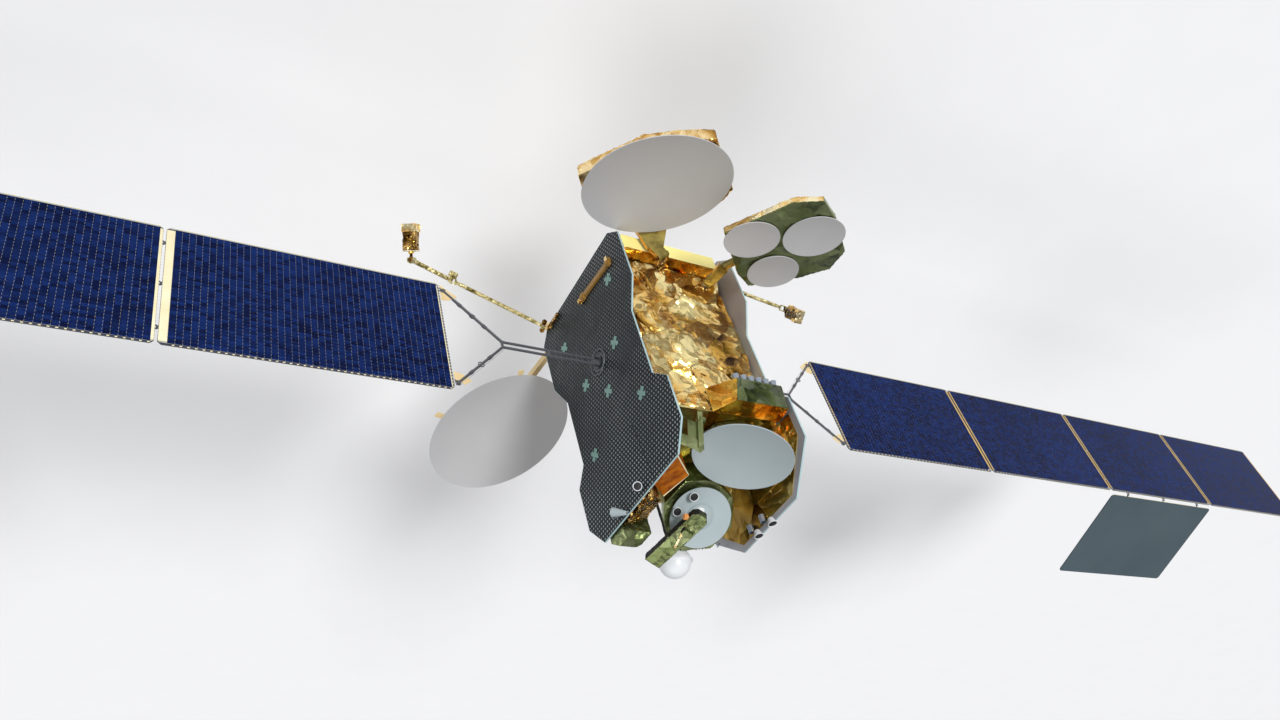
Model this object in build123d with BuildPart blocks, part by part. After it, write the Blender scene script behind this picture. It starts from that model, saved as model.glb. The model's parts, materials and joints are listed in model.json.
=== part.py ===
"""Geostationary telecommunications satellite with two folding solar wings, three deployable
antenna assemblies, a populated Earth deck and two jointed thruster booms. Millimetres.

Origin: centre of the launch adapter ring's lower face. +Z points to the Earth deck,
X runs along the solar wings and -Y is the foil-covered side.
"""

import os
from math import asin, cos, radians, sin

from build123d import *

os.makedirs("parts", exist_ok=True)

# Body: heights are counted from the wing axis
ring_height = 290
platform_drop = 1860
earth_deck_height = 1750
body_width = 2270
body_depth = 2200
body_chamfer = 90
deck_thickness = 40
deck_overhang = 150

# Anti-Earth platform, adapter ring and main engine
platform_inset = 85
platform_reach = 200
platform_thickness = 350
ring_outer_radius = 597
ring_wall = 26
ring_flange = 40
ring_flange_step = 10
ring_flange_slope = 20
engine_throat_radius = 45
engine_mouth_radius = 260
engine_length = 620
engine_recess = 330
engine_wall = 6
engine_collar = 60
engine_bulge_radius = 177
engine_bulge_height = 279

# Radiators
radiator_thickness = 30
radiator_outline = [
    # y beyond the body's side, z above the wing axis, the same on both sides
    (100, -1900),
    (350, -1670),
    (350, -620),
    (60, -80),
    (60, 1240),
    (350, 1540),
    (350, 2330),
]
radiator_earth_end = {
    # side, y beyond the body's side, z above the wing axis
    "plus_x": [(-1, 30, 2750), (1, 30, 2750)],
    "minus_x": [(-1, -300, 3020), (1, -400, 3040), (1, 20, 2660)],
}
lining_thickness = 12
lining_outline = {
    # side, y beyond the body's side, height above the deck
    "plus_x": [(-1, 230, 0), (-1, 230, 420), (-1, -60, 870), (1, -60, 870), (1, 230, 520), (1, 230, 0)],
    "minus_x": [
        (-1, 230, 0), (-1, 230, 430), (-1, -350, 1140), (1, -460, 1150), (1, -60, 760), (1, 60, 0),
    ],
}
fairing_plan = {
    # distance inward from the lining, y from the body's foil side inward, height above the deck
    "plus_x": [(0, -50, 850), (0, -760, 850), (620, -1340, 640), (820, -865, 560)],
    "minus_x": [(0, -50, 780), (0, -1220, 780), (130, -1220, 200), (150, -50, 200)],
}

# Fittings on a radiator: hold-down bar with an end block each, and cross-shaped pads
fitting_thickness = 12
hold_down = ((-1070, -1350), (-40, -1440))
hold_down_width = 90
hold_down_depth = 45
hold_down_block = 70
hold_down_height = 75
pad_length = 210
pad_width = 70
pads = [(-849, -1116), (841, -1077), (-528, 40), (520, 63), (-22, 643), (-785, 1328), (783, 1324)]

# Solar wings
panel_count = 4
panel_length = 3935
panel_gap = 40
panel_width = 2200
panel_thickness = 24
panel_chamfer = 45
panel_standoff = 2673
folded_gap = 16
lateral_gap = 52
lateral_width = 2210
lateral_end_gap = 20
lateral_swing = 73.1
lateral_hinge_out = 45
lateral_on = 2
lateral_stations = (0.15, 0.5, 0.85)
barrel_radius = 8
barrel_length = 46
pin_radius = 4
pin_clearance = 0.08
side_play = 0.5
hinge_root = 30
hinge_stations = (-800, 0, 800)
ear_thickness = 10

# Yoke
yoke_standoff = 97
yoke_neck = 1745
yoke_tube_radius = 22
yoke_tube_spacing = 110
yoke_node_radius = 28
yoke_arm_spread = 960
yoke_root_width = 158
yoke_ear = 12
yoke_pin = 10
yoke_fitting = 60
yoke_end_play = 24
yoke_collar_radius = 30
yoke_collar_length = 70
yoke_collar_stations = (0.3, 0.72)

# Solar array drive
drive_radius = 150
drive_ring_height = 10
drive_rim_width = 25
drive_rim_height = 5
drive_shaft_radius = 60
drive_shaft_gap = 1
drive_bore_play = 0.3
drive_clearance = 6
drive_hub_radius = 110
drive_hub_thickness = 14

# Feed tower: two cross-sections, and the horns on its lower face
tower_reach = 350
tower_low = 1300
tower_sections = [
    # height above the wing axis, how far the two rear and the two front edges lie from the -X lining
    (tower_low, (3, 1303), (3, 903)),
    (earth_deck_height + deck_thickness, (3, 1323), (63, 1083)),
]
horn_count = 6
horn_first = 93
horn_pitch = 150
horn_throat = 36
horn_mouth = 66
horn_wall = 5
horn_length = 120
horn_setback = 90

# Dishes on the Earth deck, and the tapered housings that carry the first two
dish_stem_radius = 55
dish_gap = 30
deck_dishes = [
    # name, x, side, y beyond the body's side, height above the deck, normal, radius, depth, shell
    ("deck_dish_large", -290, -1, -230, 640, (0.353, 0.141, 0.925), 780, 90, 14),
    ("deck_dish_medium", -300, 1, -610, 810, (0.224, -0.533, 0.816), 510, 60, 12),
    ("deck_dish_small", -570, 1, 190, 560, (0.3, 0.2, 0.93), 225, 50, 10),
]
housings = {
    # dish: foot's x and y counted from the dish's, foot's radius, head's radius
    "deck_dish_large": (-90, 390, 560, 560),
    "deck_dish_medium": (0, 30, 460, 640),
}
housing_sides = 8
dome = (220, 110)
mouth_radius = 42
mouth_bore = 34
mouth_height = 70
mouths_on_medium = [(242, -260, -236), (440, 3, -118)]

# Ball-shaped antenna, tilted tray and feed equipment: y is counted from the body's far side
ball_foot = (-270, 60)
ball_centre = (-270, 300, 1050)
ball_radius = 270
ball_band = 30
ball_mast_radius = 45
tray_start = (94, -1110, 1160)
tray_end = (350, 100, 1260)
tray_normal = (0.42, -0.13, 0.9)
tray_width = 290
tray_thickness = 150
tray_end_cut = 70
tray_post = (365, -480)
tray_post_radius = 28
tray_block = 110
feed_unit_plan = [(12, -1385), (12, -500), (460, -500), (460, -970)]
feed_unit_height = 1030
feed_unit_slope = 180
feed_box_plan = [(12, -440), (12, -40), (440, -40), (540, -200), (540, -440)]
feed_box_height = 1130
feed_bar_foot = (420, 0)
feed_bar_head = (640, 740)
feed_bar_inset = 70
feed_bar_width = 90
feed_panel_width = 210
feed_panel_thickness = 24
feed_cap_radius = 58
feed_cap_height = 90
feed_bracket_length = 330
rim_horn_radius = 50
rim_horn_length = 130
rim_horns = [(-800, 1010), (-1120, 1030)]
face_horns = [
    # y from the body's far side, height above the deck, mouth radius, length
    (-1210, 790, 62, 95),
    (-540, 830, 80, 110),
]
whip_radius = 11
whip_height = 860
whip_cross = 120
whips = [(253, 20), (83, 0)]

# Deployable reflectors: y is counted outward from the body's side, z from the wing axis
bowl_depth = 0.09
reflector_shell = 14
reflector_play = 0.3
tray_front = 20
tray_backs = {"foil_side": 230, "triple": 140, "far_side": 230}
reflector_pin = 20
bracket_ear = 24
bracket_reach = 100
arm_knee = 190
arm_depth = 100
arm_drop = 20
arm_grip = (390, 260)
reflectors = [
    # name, side, hinge, hinge axis, arm bend, rim centre, normal, arm width at hinge, knee and bend
    (
        "foil_side", -1, (360, 350, -1320), (0.776, 0.449, 0.444), (450, 438, -2140),
        (1070, 1500, -1490), (-0.046, 0.236, 0.971), (200, 280, 700),
    ),
    (
        "triple", -1, (-550, 220, -1050), (0.888, -0.25, -0.385), (-620, 650, -1030),
        (-860, 1660, -430), (0.07, 0.23, 0.97), (160, 160, 200),
    ),
    (
        "far_side", 1, (550, 300, -1340), (-0.918, 0.23, -0.323), (620, 460, -2190),
        (1190, 2450, -1290), (-0.165, -0.204, 0.965), (150, 150, 220),
    ),
]
tray_corners = {
    # u and v in the rim plane, from the rim centre
    "foil_side": [
        (1343, 225), (736, -806), (241, -1112), (-245, -1305), (-1274, -365),
        (-1300, -60), (-1180, 450), (-560, 1080), (520, 1100), (950, 700),
    ],
    "triple": [
        (1064, 40), (525, -1039), (99, -1282), (-369, -1005), (-1049, -421),
        (-1132, 86), (-798, 526), (-156, 1083), (228, 863),
    ],
    "far_side": [
        (800, 330), (330, 800), (-330, 800), (-800, 330),
        (-800, -330), (-330, -800), (330, -800), (800, -330),
    ],
}
bowls_on = {
    # u and v in the rim plane, radius
    "foil_side": [(0, 0, 1230)],
    "triple": [(560, -20, 450), (-300, -520, 500), (-270, 530, 430)],
    "far_side": [(0, 0, 1420)],
}

# Thruster booms: x from the platform's side, y from its far edge, z from its lower face
boom_radius = 42
boom_tube_radius = 33
boom_pin = 10
boom_ear = 14
boom_reach = 105
boom_pad = 150
boom_base_width = 180
boom_plate = 60
boom_drop = 120
pod_neck = 150
pod_width = 260
pod_depth = 190
pod_chamfer = 25
thruster_radius = 62
thruster_length = 55
thruster_channel = (50, 31)
thruster_stations = (0.27, 0.73)
booms = [
    # name, side, root, elbow, wrist, pod's tip
    ("plus_x", 1, (190, -100, -90), (1710, 250, -1240), (2930, -780, -320), (3030, -1170, -760)),
    ("minus_x", -1, (190, -100, -90), (1150, -1010, -1480), (2350, -1690, -200), (2350, -1930, 260)),
]

# Places that follow from the sizes above
wing_axis_height = ring_height + platform_drop
platform_bottom = ring_height
platform_top = platform_bottom + platform_thickness
platform_half_width = body_width / 2 - platform_inset
platform_half_depth = body_depth / 2 + platform_reach
body_top = wing_axis_height + earth_deck_height
deck_top = body_top + deck_thickness
radiator_face = body_width / 2 + radiator_thickness
lining_face = body_width / 2 - lining_thickness
yoke_hinge_x = radiator_face + yoke_standoff
yoke_branch = radiator_face + yoke_neck
first_panel_start = radiator_face + panel_standoff
hinge_line = first_panel_start - panel_gap / 2
panel_pitch = panel_length + panel_gap


def save(part, name):
    """Labels a finished piece and writes it as one STEP file."""
    part.label = name
    export_step(part, f"parts/{name}.step")


def above(x, y, z):
    """Returns a point whose height is given from the wing axis."""
    return Vector(x, y, z + wing_axis_height)


def on_deck(x, y, z):
    """Returns a point whose height is given from the Earth deck's upper face."""
    return Vector(x, y, z + deck_top)


def beside(side, beyond):
    """Returns the y of a place that lies beyond the body's foil side (-1) or far side (1)."""
    return side * (body_depth / 2 + beyond)


def between(start, end):
    """Returns the plane at start whose normal points to end."""
    return Plane(origin=start, z_dir=(end - start))


def rolled(start, direction, roll):
    """Returns the plane at start with that normal, its x axis as near to roll as it can be."""
    normal = Vector(direction).normalized()
    across = Vector(roll) - normal * Vector(roll).dot(normal)
    return Plane(origin=start, x_dir=across, z_dir=normal)


def bar(start, end, width, depth, roll):
    """Adds a rectangular bar from start to end, its width along roll."""
    with BuildSketch(rolled(start, end - start, roll)) as section:
        Rectangle(width, depth)
    extrude(section.sketch, amount=(end - start).length)


def flared_bar(start, end, widths, depth, roll):
    """Adds a bar whose width along roll changes from the first of widths to the second."""
    sections = []
    for place, width in zip((start, end), widths):
        with BuildSketch(rolled(place, end - start, roll)) as section:
            Rectangle(width, depth)
        sections.append(section.sketch)
    loft(sections)


def rod(start, end, radius):
    """Adds a round rod from start to end."""
    with BuildSketch(between(start, end)) as section:
        Circle(radius)
    extrude(section.sketch, amount=(end - start).length)


def open_horn(start, end, radii, wall):
    """Adds a horn from its throat at start to its mouth at end, hollow to its throat."""
    for inset, mode in ((0, Mode.ADD), (wall, Mode.SUBTRACT)):
        length = (end - start).length
        direction = (end - start).normalized()
        sections = []
        for place, radius in zip((start + direction * inset, end), radii):
            with BuildSketch(Plane(origin=place, z_dir=direction)) as section:
                Circle(radius - inset)
            sections.append(section.sketch)
        if length > wall:
            loft(sections, mode=mode)


def ears(point, axis, leg, reach, width, radius, thickness, pin):
    """Adds a fixed fork: two ears that stand off along leg, and the pin through them."""
    axis, leg = Vector(axis).normalized(), Vector(leg).normalized()
    offset = width / 2 + side_play + thickness / 2
    for side in (-1, 1):
        centre = point + axis * (side * offset)
        with BuildSketch(Plane(origin=centre, x_dir=leg, z_dir=axis)) as ear:
            Circle(radius)
            with Locations((reach / 2, 0)):
                Rectangle(reach, 2 * radius)
        extrude(ear.sketch, amount=thickness / 2, both=True)
    with BuildSketch(Plane(origin=point, z_dir=axis)) as shaft:
        Circle(pin)
    extrude(shaft.sketch, amount=offset, both=True)


def fork(point, axis, leg, reach, width, radius, thickness, pin):
    """Adds ears whose far ends are joined by a bridge across them."""
    axis, leg = Vector(axis).normalized(), Vector(leg).normalized()
    ears(point, axis, leg, reach, width, radius, thickness, pin)
    span = width + 2 * (side_play + thickness)
    bar(point + leg * (reach - thickness), point + leg * reach, span, 2 * radius, axis)


def barrel(point, axis, width, radius):
    """Adds the moving half of a hinge: a sleeve round the pin."""
    with BuildSketch(Plane(origin=point, z_dir=Vector(axis))) as section:
        Circle(radius)
    extrude(section.sketch, amount=width / 2, both=True)


def barrel_bore(point, axis, width, pin):
    """Cuts the pin's bore through a barrel."""
    with BuildSketch(Plane(origin=point, z_dir=Vector(axis))) as section:
        Circle(pin + pin_clearance)
    extrude(section.sketch, amount=width, both=True, mode=Mode.SUBTRACT)


def bowl_curve(radius, depth):
    """Returns the sphere radius of a bowl from its rim radius and depth."""
    return (radius**2 + depth**2) / (2 * depth)


def section_plane(plane):
    """Returns the plane through the axis of a turned piece that stands on plane."""
    return Plane(origin=plane.origin, x_dir=plane.x_dir, z_dir=plane.x_dir.cross(plane.z_dir))


def on_bowl(curve, depth, angle, out):
    """Returns the profile point of a bowl at an angle from its axis, out from its inner face."""
    return ((curve + out) * sin(angle), curve - depth - (curve + out) * cos(angle))


def dish(plane, radius, depth, shell, dome=(0, 0)):
    """Adds a shallow bowl whose rim circle lies on plane and which opens along its normal.

    A dome, given by its radius and rise, may stand in the middle of the bowl.
    """
    curve = bowl_curve(radius, depth)
    foot, rise = dome
    rim_angle, foot_angle = asin(radius / curve), asin(foot / curve)
    inner_angles = (rim_angle, (rim_angle + foot_angle) / 2, foot_angle)
    inner = [on_bowl(curve, depth, angle, 0) for angle in inner_angles]
    outer = [on_bowl(curve, depth, angle, shell) for angle in (0, rim_angle / 2, rim_angle)]
    with BuildSketch(section_plane(plane)) as profile:
        with BuildLine():
            ThreePointArc(*inner)
            top = inner[-1]
            if foot:
                top = (0, rise - depth)
                shoulder = (foot, rise / 4 - depth)
                cap = bowl_curve(foot, top[1] - shoulder[1])
                half = asin(foot / cap) / 2
                Line(inner[-1], shoulder)
                ThreePointArc(shoulder, (cap * sin(half), top[1] - cap * (1 - cos(half))), top)
            Line(top, outer[0])
            ThreePointArc(*outer)
            Line(outer[-1], inner[0])
        make_face()
    revolve(profile.sketch, axis=Axis(plane.origin, plane.z_dir))


def prism(points, height):
    """Adds a prism that stands on the Earth deck, its outline given by points (x, y)."""
    with BuildSketch(Plane.XY.offset(deck_top)) as outline:
        Polygon(*points, align=None)
    extrude(outline.sketch, amount=height)


# Equipment body: wrapped in foil, with its edges cut back behind the radiators
with BuildPart() as equipment_body:
    with BuildSketch(Plane.XY.offset(platform_top)):
        Rectangle(body_width, body_depth)
        chamfer(vertices(), body_chamfer)
    extrude(amount=body_top - platform_top)
save(equipment_body.part, "equipment_body")

# Anti-Earth platform: a deep tray whose edge beam shows on the foil side
with BuildPart() as platform:
    with BuildSketch(Plane.XY.offset(platform_bottom)):
        Rectangle(2 * platform_half_width, 2 * platform_half_depth)
        chamfer(vertices(), body_chamfer)
    extrude(amount=platform_thickness)
    with BuildSketch(Plane.XY.offset(platform_bottom)):
        Circle(ring_outer_radius - ring_wall)
    extrude(amount=engine_recess, mode=Mode.SUBTRACT)
save(platform.part, "anti_earth_platform")

# Launch adapter ring: a flanged ring turned from an L section
with BuildPart() as adapter_ring:
    with BuildSketch(Plane.XZ):
        with BuildLine():
            Polyline(
                (ring_outer_radius, 0),
                (ring_outer_radius, ring_flange),
                (ring_outer_radius - ring_flange_step, ring_flange + ring_flange_slope),
                (ring_outer_radius - ring_flange_step, platform_bottom),
                (ring_outer_radius - ring_wall, platform_bottom),
                (ring_outer_radius - ring_wall, 0),
                close=True,
            )
        make_face()
    revolve(axis=Axis.Z)
save(adapter_ring.part, "adapter_ring")

# Main engine: a bell hung in the ring
throat = platform_bottom + engine_recess
mouth = throat - engine_length
bulge = (engine_bulge_radius, mouth + engine_bulge_height)
with BuildPart() as main_engine:
    with BuildSketch(Plane.XZ):
        with BuildLine():
            Line((engine_throat_radius, throat), (engine_throat_radius, throat - engine_collar))
            ThreePointArc(
                (engine_throat_radius, throat - engine_collar),
                bulge,
                (engine_mouth_radius, mouth),
            )
            Line((engine_mouth_radius, mouth), (engine_mouth_radius + engine_wall, mouth))
            ThreePointArc(
                (engine_mouth_radius + engine_wall, mouth),
                (bulge[0] + engine_wall, bulge[1] + engine_wall),
                (engine_throat_radius + engine_wall, throat - engine_collar + 2 * engine_wall),
            )
            Polyline(
                (engine_throat_radius + engine_wall, throat - engine_collar + 2 * engine_wall),
                (engine_throat_radius + engine_wall, throat),
                (engine_throat_radius, throat),
            )
        make_face()
    revolve(axis=Axis.Z)
    with BuildSketch(Plane.XY.offset(throat - engine_collar / 2)):
        Circle(engine_throat_radius + engine_wall)
    extrude(amount=engine_collar / 2)
save(main_engine.part, "main_engine")

# Radiators: honeycomb panels, one each side, and their fittings
for name, side in (("plus_x", 1), ("minus_x", -1)):
    with BuildPart() as radiator:
        with BuildSketch(Plane.YZ.offset(side * body_width / 2)):
            with BuildLine():
                foil_edge = [(beside(-1, y), z + wing_axis_height) for y, z in radiator_outline]
                far_edge = [(-y, z) for y, z in reversed(foil_edge)]
                earth_edge = [(beside(to, y), z + wing_axis_height) for to, y, z in radiator_earth_end[name]]
                Polyline(*foil_edge, *earth_edge, *far_edge, close=True)
            make_face()
        extrude(amount=side * radiator_thickness)
    save(radiator.part, f"radiator_{name}")

    outward = Vector(side, 0, 0)
    with BuildPart() as fittings:
        start, end = (above(side * radiator_face, y, z) for y, z in hold_down)
        along = (end - start).normalized()
        bar(
            start + outward * hold_down_depth / 2, end + outward * hold_down_depth / 2,
            hold_down_depth, hold_down_width, outward,
        )
        for place in (start + along * hold_down_block, end - along * hold_down_block):
            rod(place, place + outward * hold_down_height, hold_down_block / 2)
            rod(place, place + outward * (hold_down_depth + fitting_thickness), hold_down_block)
        for y, z in pads:
            place = above(side * radiator_face, y, z)
            for roll in ((0, 1, 1), (0, 1, -1)):
                with BuildSketch(Plane(origin=place, x_dir=roll, z_dir=outward)) as stroke:
                    Rectangle(pad_length, pad_width)
                extrude(stroke.sketch, amount=fitting_thickness)
    save(fittings.part, f"radiator_fittings_{name}")

    # Foil-covered lining of the radiator's inner face above the deck, with its sloping fairing
    with BuildPart() as fairing:
        with BuildSketch(Plane.YZ.offset(side * lining_face)):
            Polygon(
                *[(beside(to, beyond), deck_top + height) for to, beyond, height in lining_outline[name]],
                align=None,
            )
        extrude(amount=side * lining_thickness)
        corners = [(side * (lining_face - inward), beside(-1, y)) for inward, y, height in fairing_plan[name]]
        heights = [height for inward, y, height in fairing_plan[name]]
        prism(corners, max(heights))
        slope = [on_deck(*corner, height) for corner, height in zip(corners, heights)][:3]
        normal = (slope[1] - slope[0]).cross(slope[2] - slope[1]).normalized()
        normal = normal * (1 if normal.Z > 0 else -1)
        lining_edge = side * (lining_face - lining_thickness / 4)
        with BuildPart(mode=Mode.PRIVATE) as above_slope:
            with BuildSketch(Plane(origin=slope[0], x_dir=slope[1] - slope[0], z_dir=normal)) as lid:
                Rectangle(2 * body_depth, 2 * body_depth)
            extrude(lid.sketch, amount=body_depth)
            split(bisect_by=Plane(origin=(lining_edge, 0, 0), z_dir=(-side, 0, 0)), keep=Keep.TOP)
        add(above_slope.part, mode=Mode.SUBTRACT)
    save(fairing.part, f"deck_fairing_{name}")

# Earth deck: the plate that closes the body and overhangs the far side
with BuildPart() as earth_deck:
    with BuildSketch(Plane.XY.offset(body_top)):
        with Locations((0, deck_overhang / 2)):
            Rectangle(body_width - 2 * lining_thickness, body_depth + deck_overhang)
            chamfer(vertices(), body_chamfer)
    extrude(amount=deck_thickness)
save(earth_deck.part, "earth_deck")

# Feed tower: a foil-covered block that widens towards the deck
with BuildPart() as feed_tower:
    for height, rear, front in tower_sections:
        with BuildSketch(Plane.XY.offset(wing_axis_height + height)):
            Polygon(
                (rear[0] - lining_face, beside(-1, 0)),
                (rear[1] - lining_face, beside(-1, 0)),
                (front[1] - lining_face, beside(-1, tower_reach)),
                (front[0] - lining_face, beside(-1, tower_reach)),
                align=None,
            )
    loft()
save(feed_tower.part, "feed_tower")

# Feed horns: a row that looks down the foil side at the reflectors
with BuildPart() as feed_horns:
    for index in range(horn_count):
        x = horn_first + horn_pitch * index - lining_face
        top = above(x, beside(-1, tower_reach - horn_setback), tower_low)
        open_horn(top, top - Vector(0, 0, horn_length), (horn_throat, horn_mouth), horn_wall)
save(feed_horns.part, "feed_horns")

# Deck dishes, and the octagonal housings under the larger two
with BuildPart() as dish_housings:
    for name, x, side, beyond, z, normal, radius, depth, shell in deck_dishes:
        if name not in housings:
            continue
        aside_x, aside_y, foot_radius, head_radius = housings[name]
        middle = on_deck(x, beside(side, beyond), z)
        rim = Plane(origin=middle, x_dir=(1, 0, -normal[0] / normal[2]), z_dir=normal)
        with BuildSketch(Plane.XY.offset(deck_top)) as foot:
            with Locations((middle.X + aside_x, middle.Y + aside_y)):
                RegularPolygon(foot_radius, housing_sides)
        with BuildSketch(rim.offset(-depth - shell - dish_gap)) as head:
            RegularPolygon(head_radius, housing_sides)
        loft([foot.sketch, head.sketch], ruled=True)
save(dish_housings.part, "dish_housings")

for name, x, side, beyond, z, normal, radius, depth, shell in deck_dishes:
    middle = on_deck(x, beside(side, beyond), z)
    rim = Plane(origin=middle, x_dir=(1, 0, -normal[0] / normal[2]), z_dir=normal)
    with BuildPart() as deck_dish:
        on_medium = name == "deck_dish_medium"
        dish(rim, radius, depth, shell, dome if on_medium else (0, 0))
        back = rim.origin - rim.z_dir * (depth + shell / 2)
        if name in housings:
            rod(back, back - rim.z_dir * (dish_gap + shell / 2), dish_stem_radius)
        else:
            rod(back, back - rim.z_dir * (back.Z - deck_top) / rim.z_dir.Z * 2, dish_stem_radius)
            split(bisect_by=Plane.XY.offset(deck_top), keep=Keep.TOP)
        if on_medium:
            for offset in mouths_on_medium:
                place = rim.origin + Vector(*offset)
                base = place - rim.z_dir * (shell + depth / 2)
                rod(base, place + rim.z_dir * mouth_height, mouth_radius)
                with BuildSketch(Plane(origin=place, z_dir=rim.z_dir)) as bore:
                    Circle(mouth_bore)
                extrude(bore.sketch, amount=mouth_height, mode=Mode.SUBTRACT)
    save(deck_dish.part, name)

# Ball-shaped antenna on a leaning mast
with BuildPart() as ball_antenna:
    centre = on_deck(ball_centre[0], beside(1, ball_centre[1]), ball_centre[2])
    foot = on_deck(ball_foot[0], beside(1, ball_foot[1]), 0)
    with Locations(centre):
        Sphere(ball_radius)
    with BuildSketch(Plane(origin=centre, z_dir=(centre - foot))) as band:
        Circle(ball_radius + ball_band)
    extrude(band.sketch, amount=ball_band / 2, both=True)
    rod(foot - (centre - foot) * 0.1, centre, ball_mast_radius)
    split(bisect_by=Plane.XY.offset(deck_top), keep=Keep.TOP)
save(ball_antenna.part, "ball_antenna")

# Tilted tray over the dishes, on a post
with BuildPart() as tilted_tray:
    start, end = (on_deck(x, beside(1, y), z) for x, y, z in (tray_start, tray_end))
    post = on_deck(tray_post[0], beside(1, tray_post[1]), 0)
    across = Vector(*tray_normal).cross(end - start).normalized()
    upward = (end - start).cross(across).normalized()
    upward = upward * (1 if upward.Z > 0 else -1)
    length = (end - start).length
    with BuildSketch(Plane(origin=start, x_dir=(end - start), z_dir=upward)) as outline:
        Polygon(
            (0, tray_end_cut - tray_width / 2),
            (tray_end_cut, -tray_width / 2),
            (length, -tray_width / 2),
            (length, tray_width / 2),
            (tray_end_cut, tray_width / 2),
            (0, tray_width / 2 - tray_end_cut),
            align=None,
        )
    extrude(outline.sketch, amount=-tray_thickness)
    seat = start + (end - start) * 0.3 + upward * tray_block / 4
    with BuildSketch(Plane(origin=seat, x_dir=(end - start), z_dir=upward)) as block:
        with Locations((0, tray_width / 2 - tray_block), (0, tray_block - tray_width / 2)):
            Rectangle(tray_block, tray_block)
    extrude(block.sketch, amount=tray_block / 2)
    extrude(block.sketch, amount=-tray_block / 2)
    rod(post, post + Vector(0, 0, tray_start[2]), tray_post_radius)
save(tilted_tray.part, "tilted_tray")

# Side feed unit and box: foil-covered equipment behind the radiator's edge
with BuildPart() as feed_unit:
    prism([(lining_face - inward, beside(1, y)) for inward, y in feed_unit_plan], feed_unit_height)
    inner_top = on_deck(lining_face - feed_unit_plan[2][0], 0, feed_unit_height - feed_unit_slope)
    outer_top = on_deck(lining_face - feed_unit_plan[0][0], 0, feed_unit_height)
    slope_normal = (outer_top - inner_top).cross(Vector(0, 1, 0))
    split(bisect_by=Plane(origin=inner_top, z_dir=slope_normal), keep=Keep.BOTTOM)
save(feed_unit.part, "side_feed_unit")

with BuildPart() as feed_box:
    prism([(lining_face - inward, beside(1, y)) for inward, y in feed_box_plan], feed_box_height)
    chamfer(feed_box.faces().sort_by(Axis.Z)[-1].edges(), body_chamfer)
save(feed_box.part, "side_feed_box")

# Feed bar beside the large dish: a leaning bar with a cap, a side panel and a bracket
with BuildPart() as feed_bar:
    foot, head = (on_deck(x, beside(-1, -feed_bar_inset), z) for x, z in (feed_bar_foot, feed_bar_head))
    lean = (head - foot).normalized()
    bar(foot - lean * feed_bar_width, head, feed_bar_width, feed_bar_width, (0, 1, 0))
    panel_start = foot + lean * feed_panel_width + Vector(feed_panel_width / 2, 0, 0)
    bar(panel_start, panel_start + (head - foot) * 0.6, feed_panel_thickness, feed_panel_width, (0, 1, 0))
    bracket_root = head - lean * feed_bar_width
    bracket_end = bracket_root + Vector(feed_bracket_length, 0, -feed_bar_width)
    bar(bracket_root, bracket_end, feed_bar_width / 2, 2 * feed_bar_width, (0, 1, 0))
    cap = foot + lean * (feed_bar_width + feed_cap_radius)
    rod(cap, cap + Vector(-feed_cap_height, 0, 0), feed_cap_radius)
    split(bisect_by=Plane.XY.offset(deck_top), keep=Keep.TOP)
save(feed_bar.part, "feed_bar")

# Small horns and whip antennas on the radiators' edges and the deck
with BuildPart() as small_antennas:
    for y, z in rim_horns:
        place = on_deck(rim_horn_radius - lining_face, beside(1, y), z)
        open_horn(place, place + Vector(0, 0, rim_horn_length), (rim_horn_radius, rim_horn_radius), horn_wall)
    for y, z, radius, length in face_horns:
        place = on_deck(radiator_face, beside(1, y), z)
        open_horn(place, place + Vector(length, 0, 0), (radius / 2, radius), horn_wall)
    for inward, beyond in whips:
        foot, head = (on_deck(inward - lining_face, beside(1, beyond), z) for z in (0, whip_height))
        rod(foot, head, whip_radius)
        for way in (Vector(whip_cross / 2, 0, 0), Vector(0, whip_cross / 2, 0)):
            rod(head - way, head + way, whip_radius)
save(small_antennas.part, "small_antennas")

# Solar array drives: a fixed ring on each radiator, and a hub with the yoke's fork
axis_point = (0, wing_axis_height)
with BuildPart() as drive_ring:
    for radius, height in ((drive_radius, drive_ring_height), (drive_hub_radius, drive_ring_height)):
        with BuildSketch(Plane.YZ.offset(radiator_face)):
            with Locations(axis_point):
                Circle(radius)
        extrude(amount=height)
    with BuildSketch(Plane.YZ.offset(radiator_face)):
        with Locations(axis_point):
            Circle(drive_radius)
            Circle(drive_radius - drive_rim_width, mode=Mode.SUBTRACT)
    extrude(amount=drive_ring_height + drive_rim_height)
    with BuildSketch(Plane.YZ.offset(radiator_face)):
        with Locations(axis_point):
            Circle(drive_shaft_radius + drive_bore_play)
    extrude(amount=drive_ring_height, mode=Mode.SUBTRACT)

hub_back = radiator_face + drive_ring_height + drive_clearance
with BuildPart() as drive_hub:
    with BuildSketch(Plane.YZ.offset(radiator_face + drive_shaft_gap)):
        with Locations(axis_point):
            Circle(drive_shaft_radius)
    extrude(amount=drive_ring_height + drive_clearance)
    with BuildSketch(Plane.YZ.offset(hub_back)):
        with Locations(axis_point):
            Circle(drive_hub_radius)
    extrude(amount=drive_hub_thickness)
    ears(
        above(yoke_hinge_x, 0, 0), (0, 0, 1), (-1, 0, 0), yoke_hinge_x - hub_back - drive_hub_thickness,
        yoke_root_width, yoke_tube_radius, yoke_ear, yoke_pin,
    )

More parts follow.
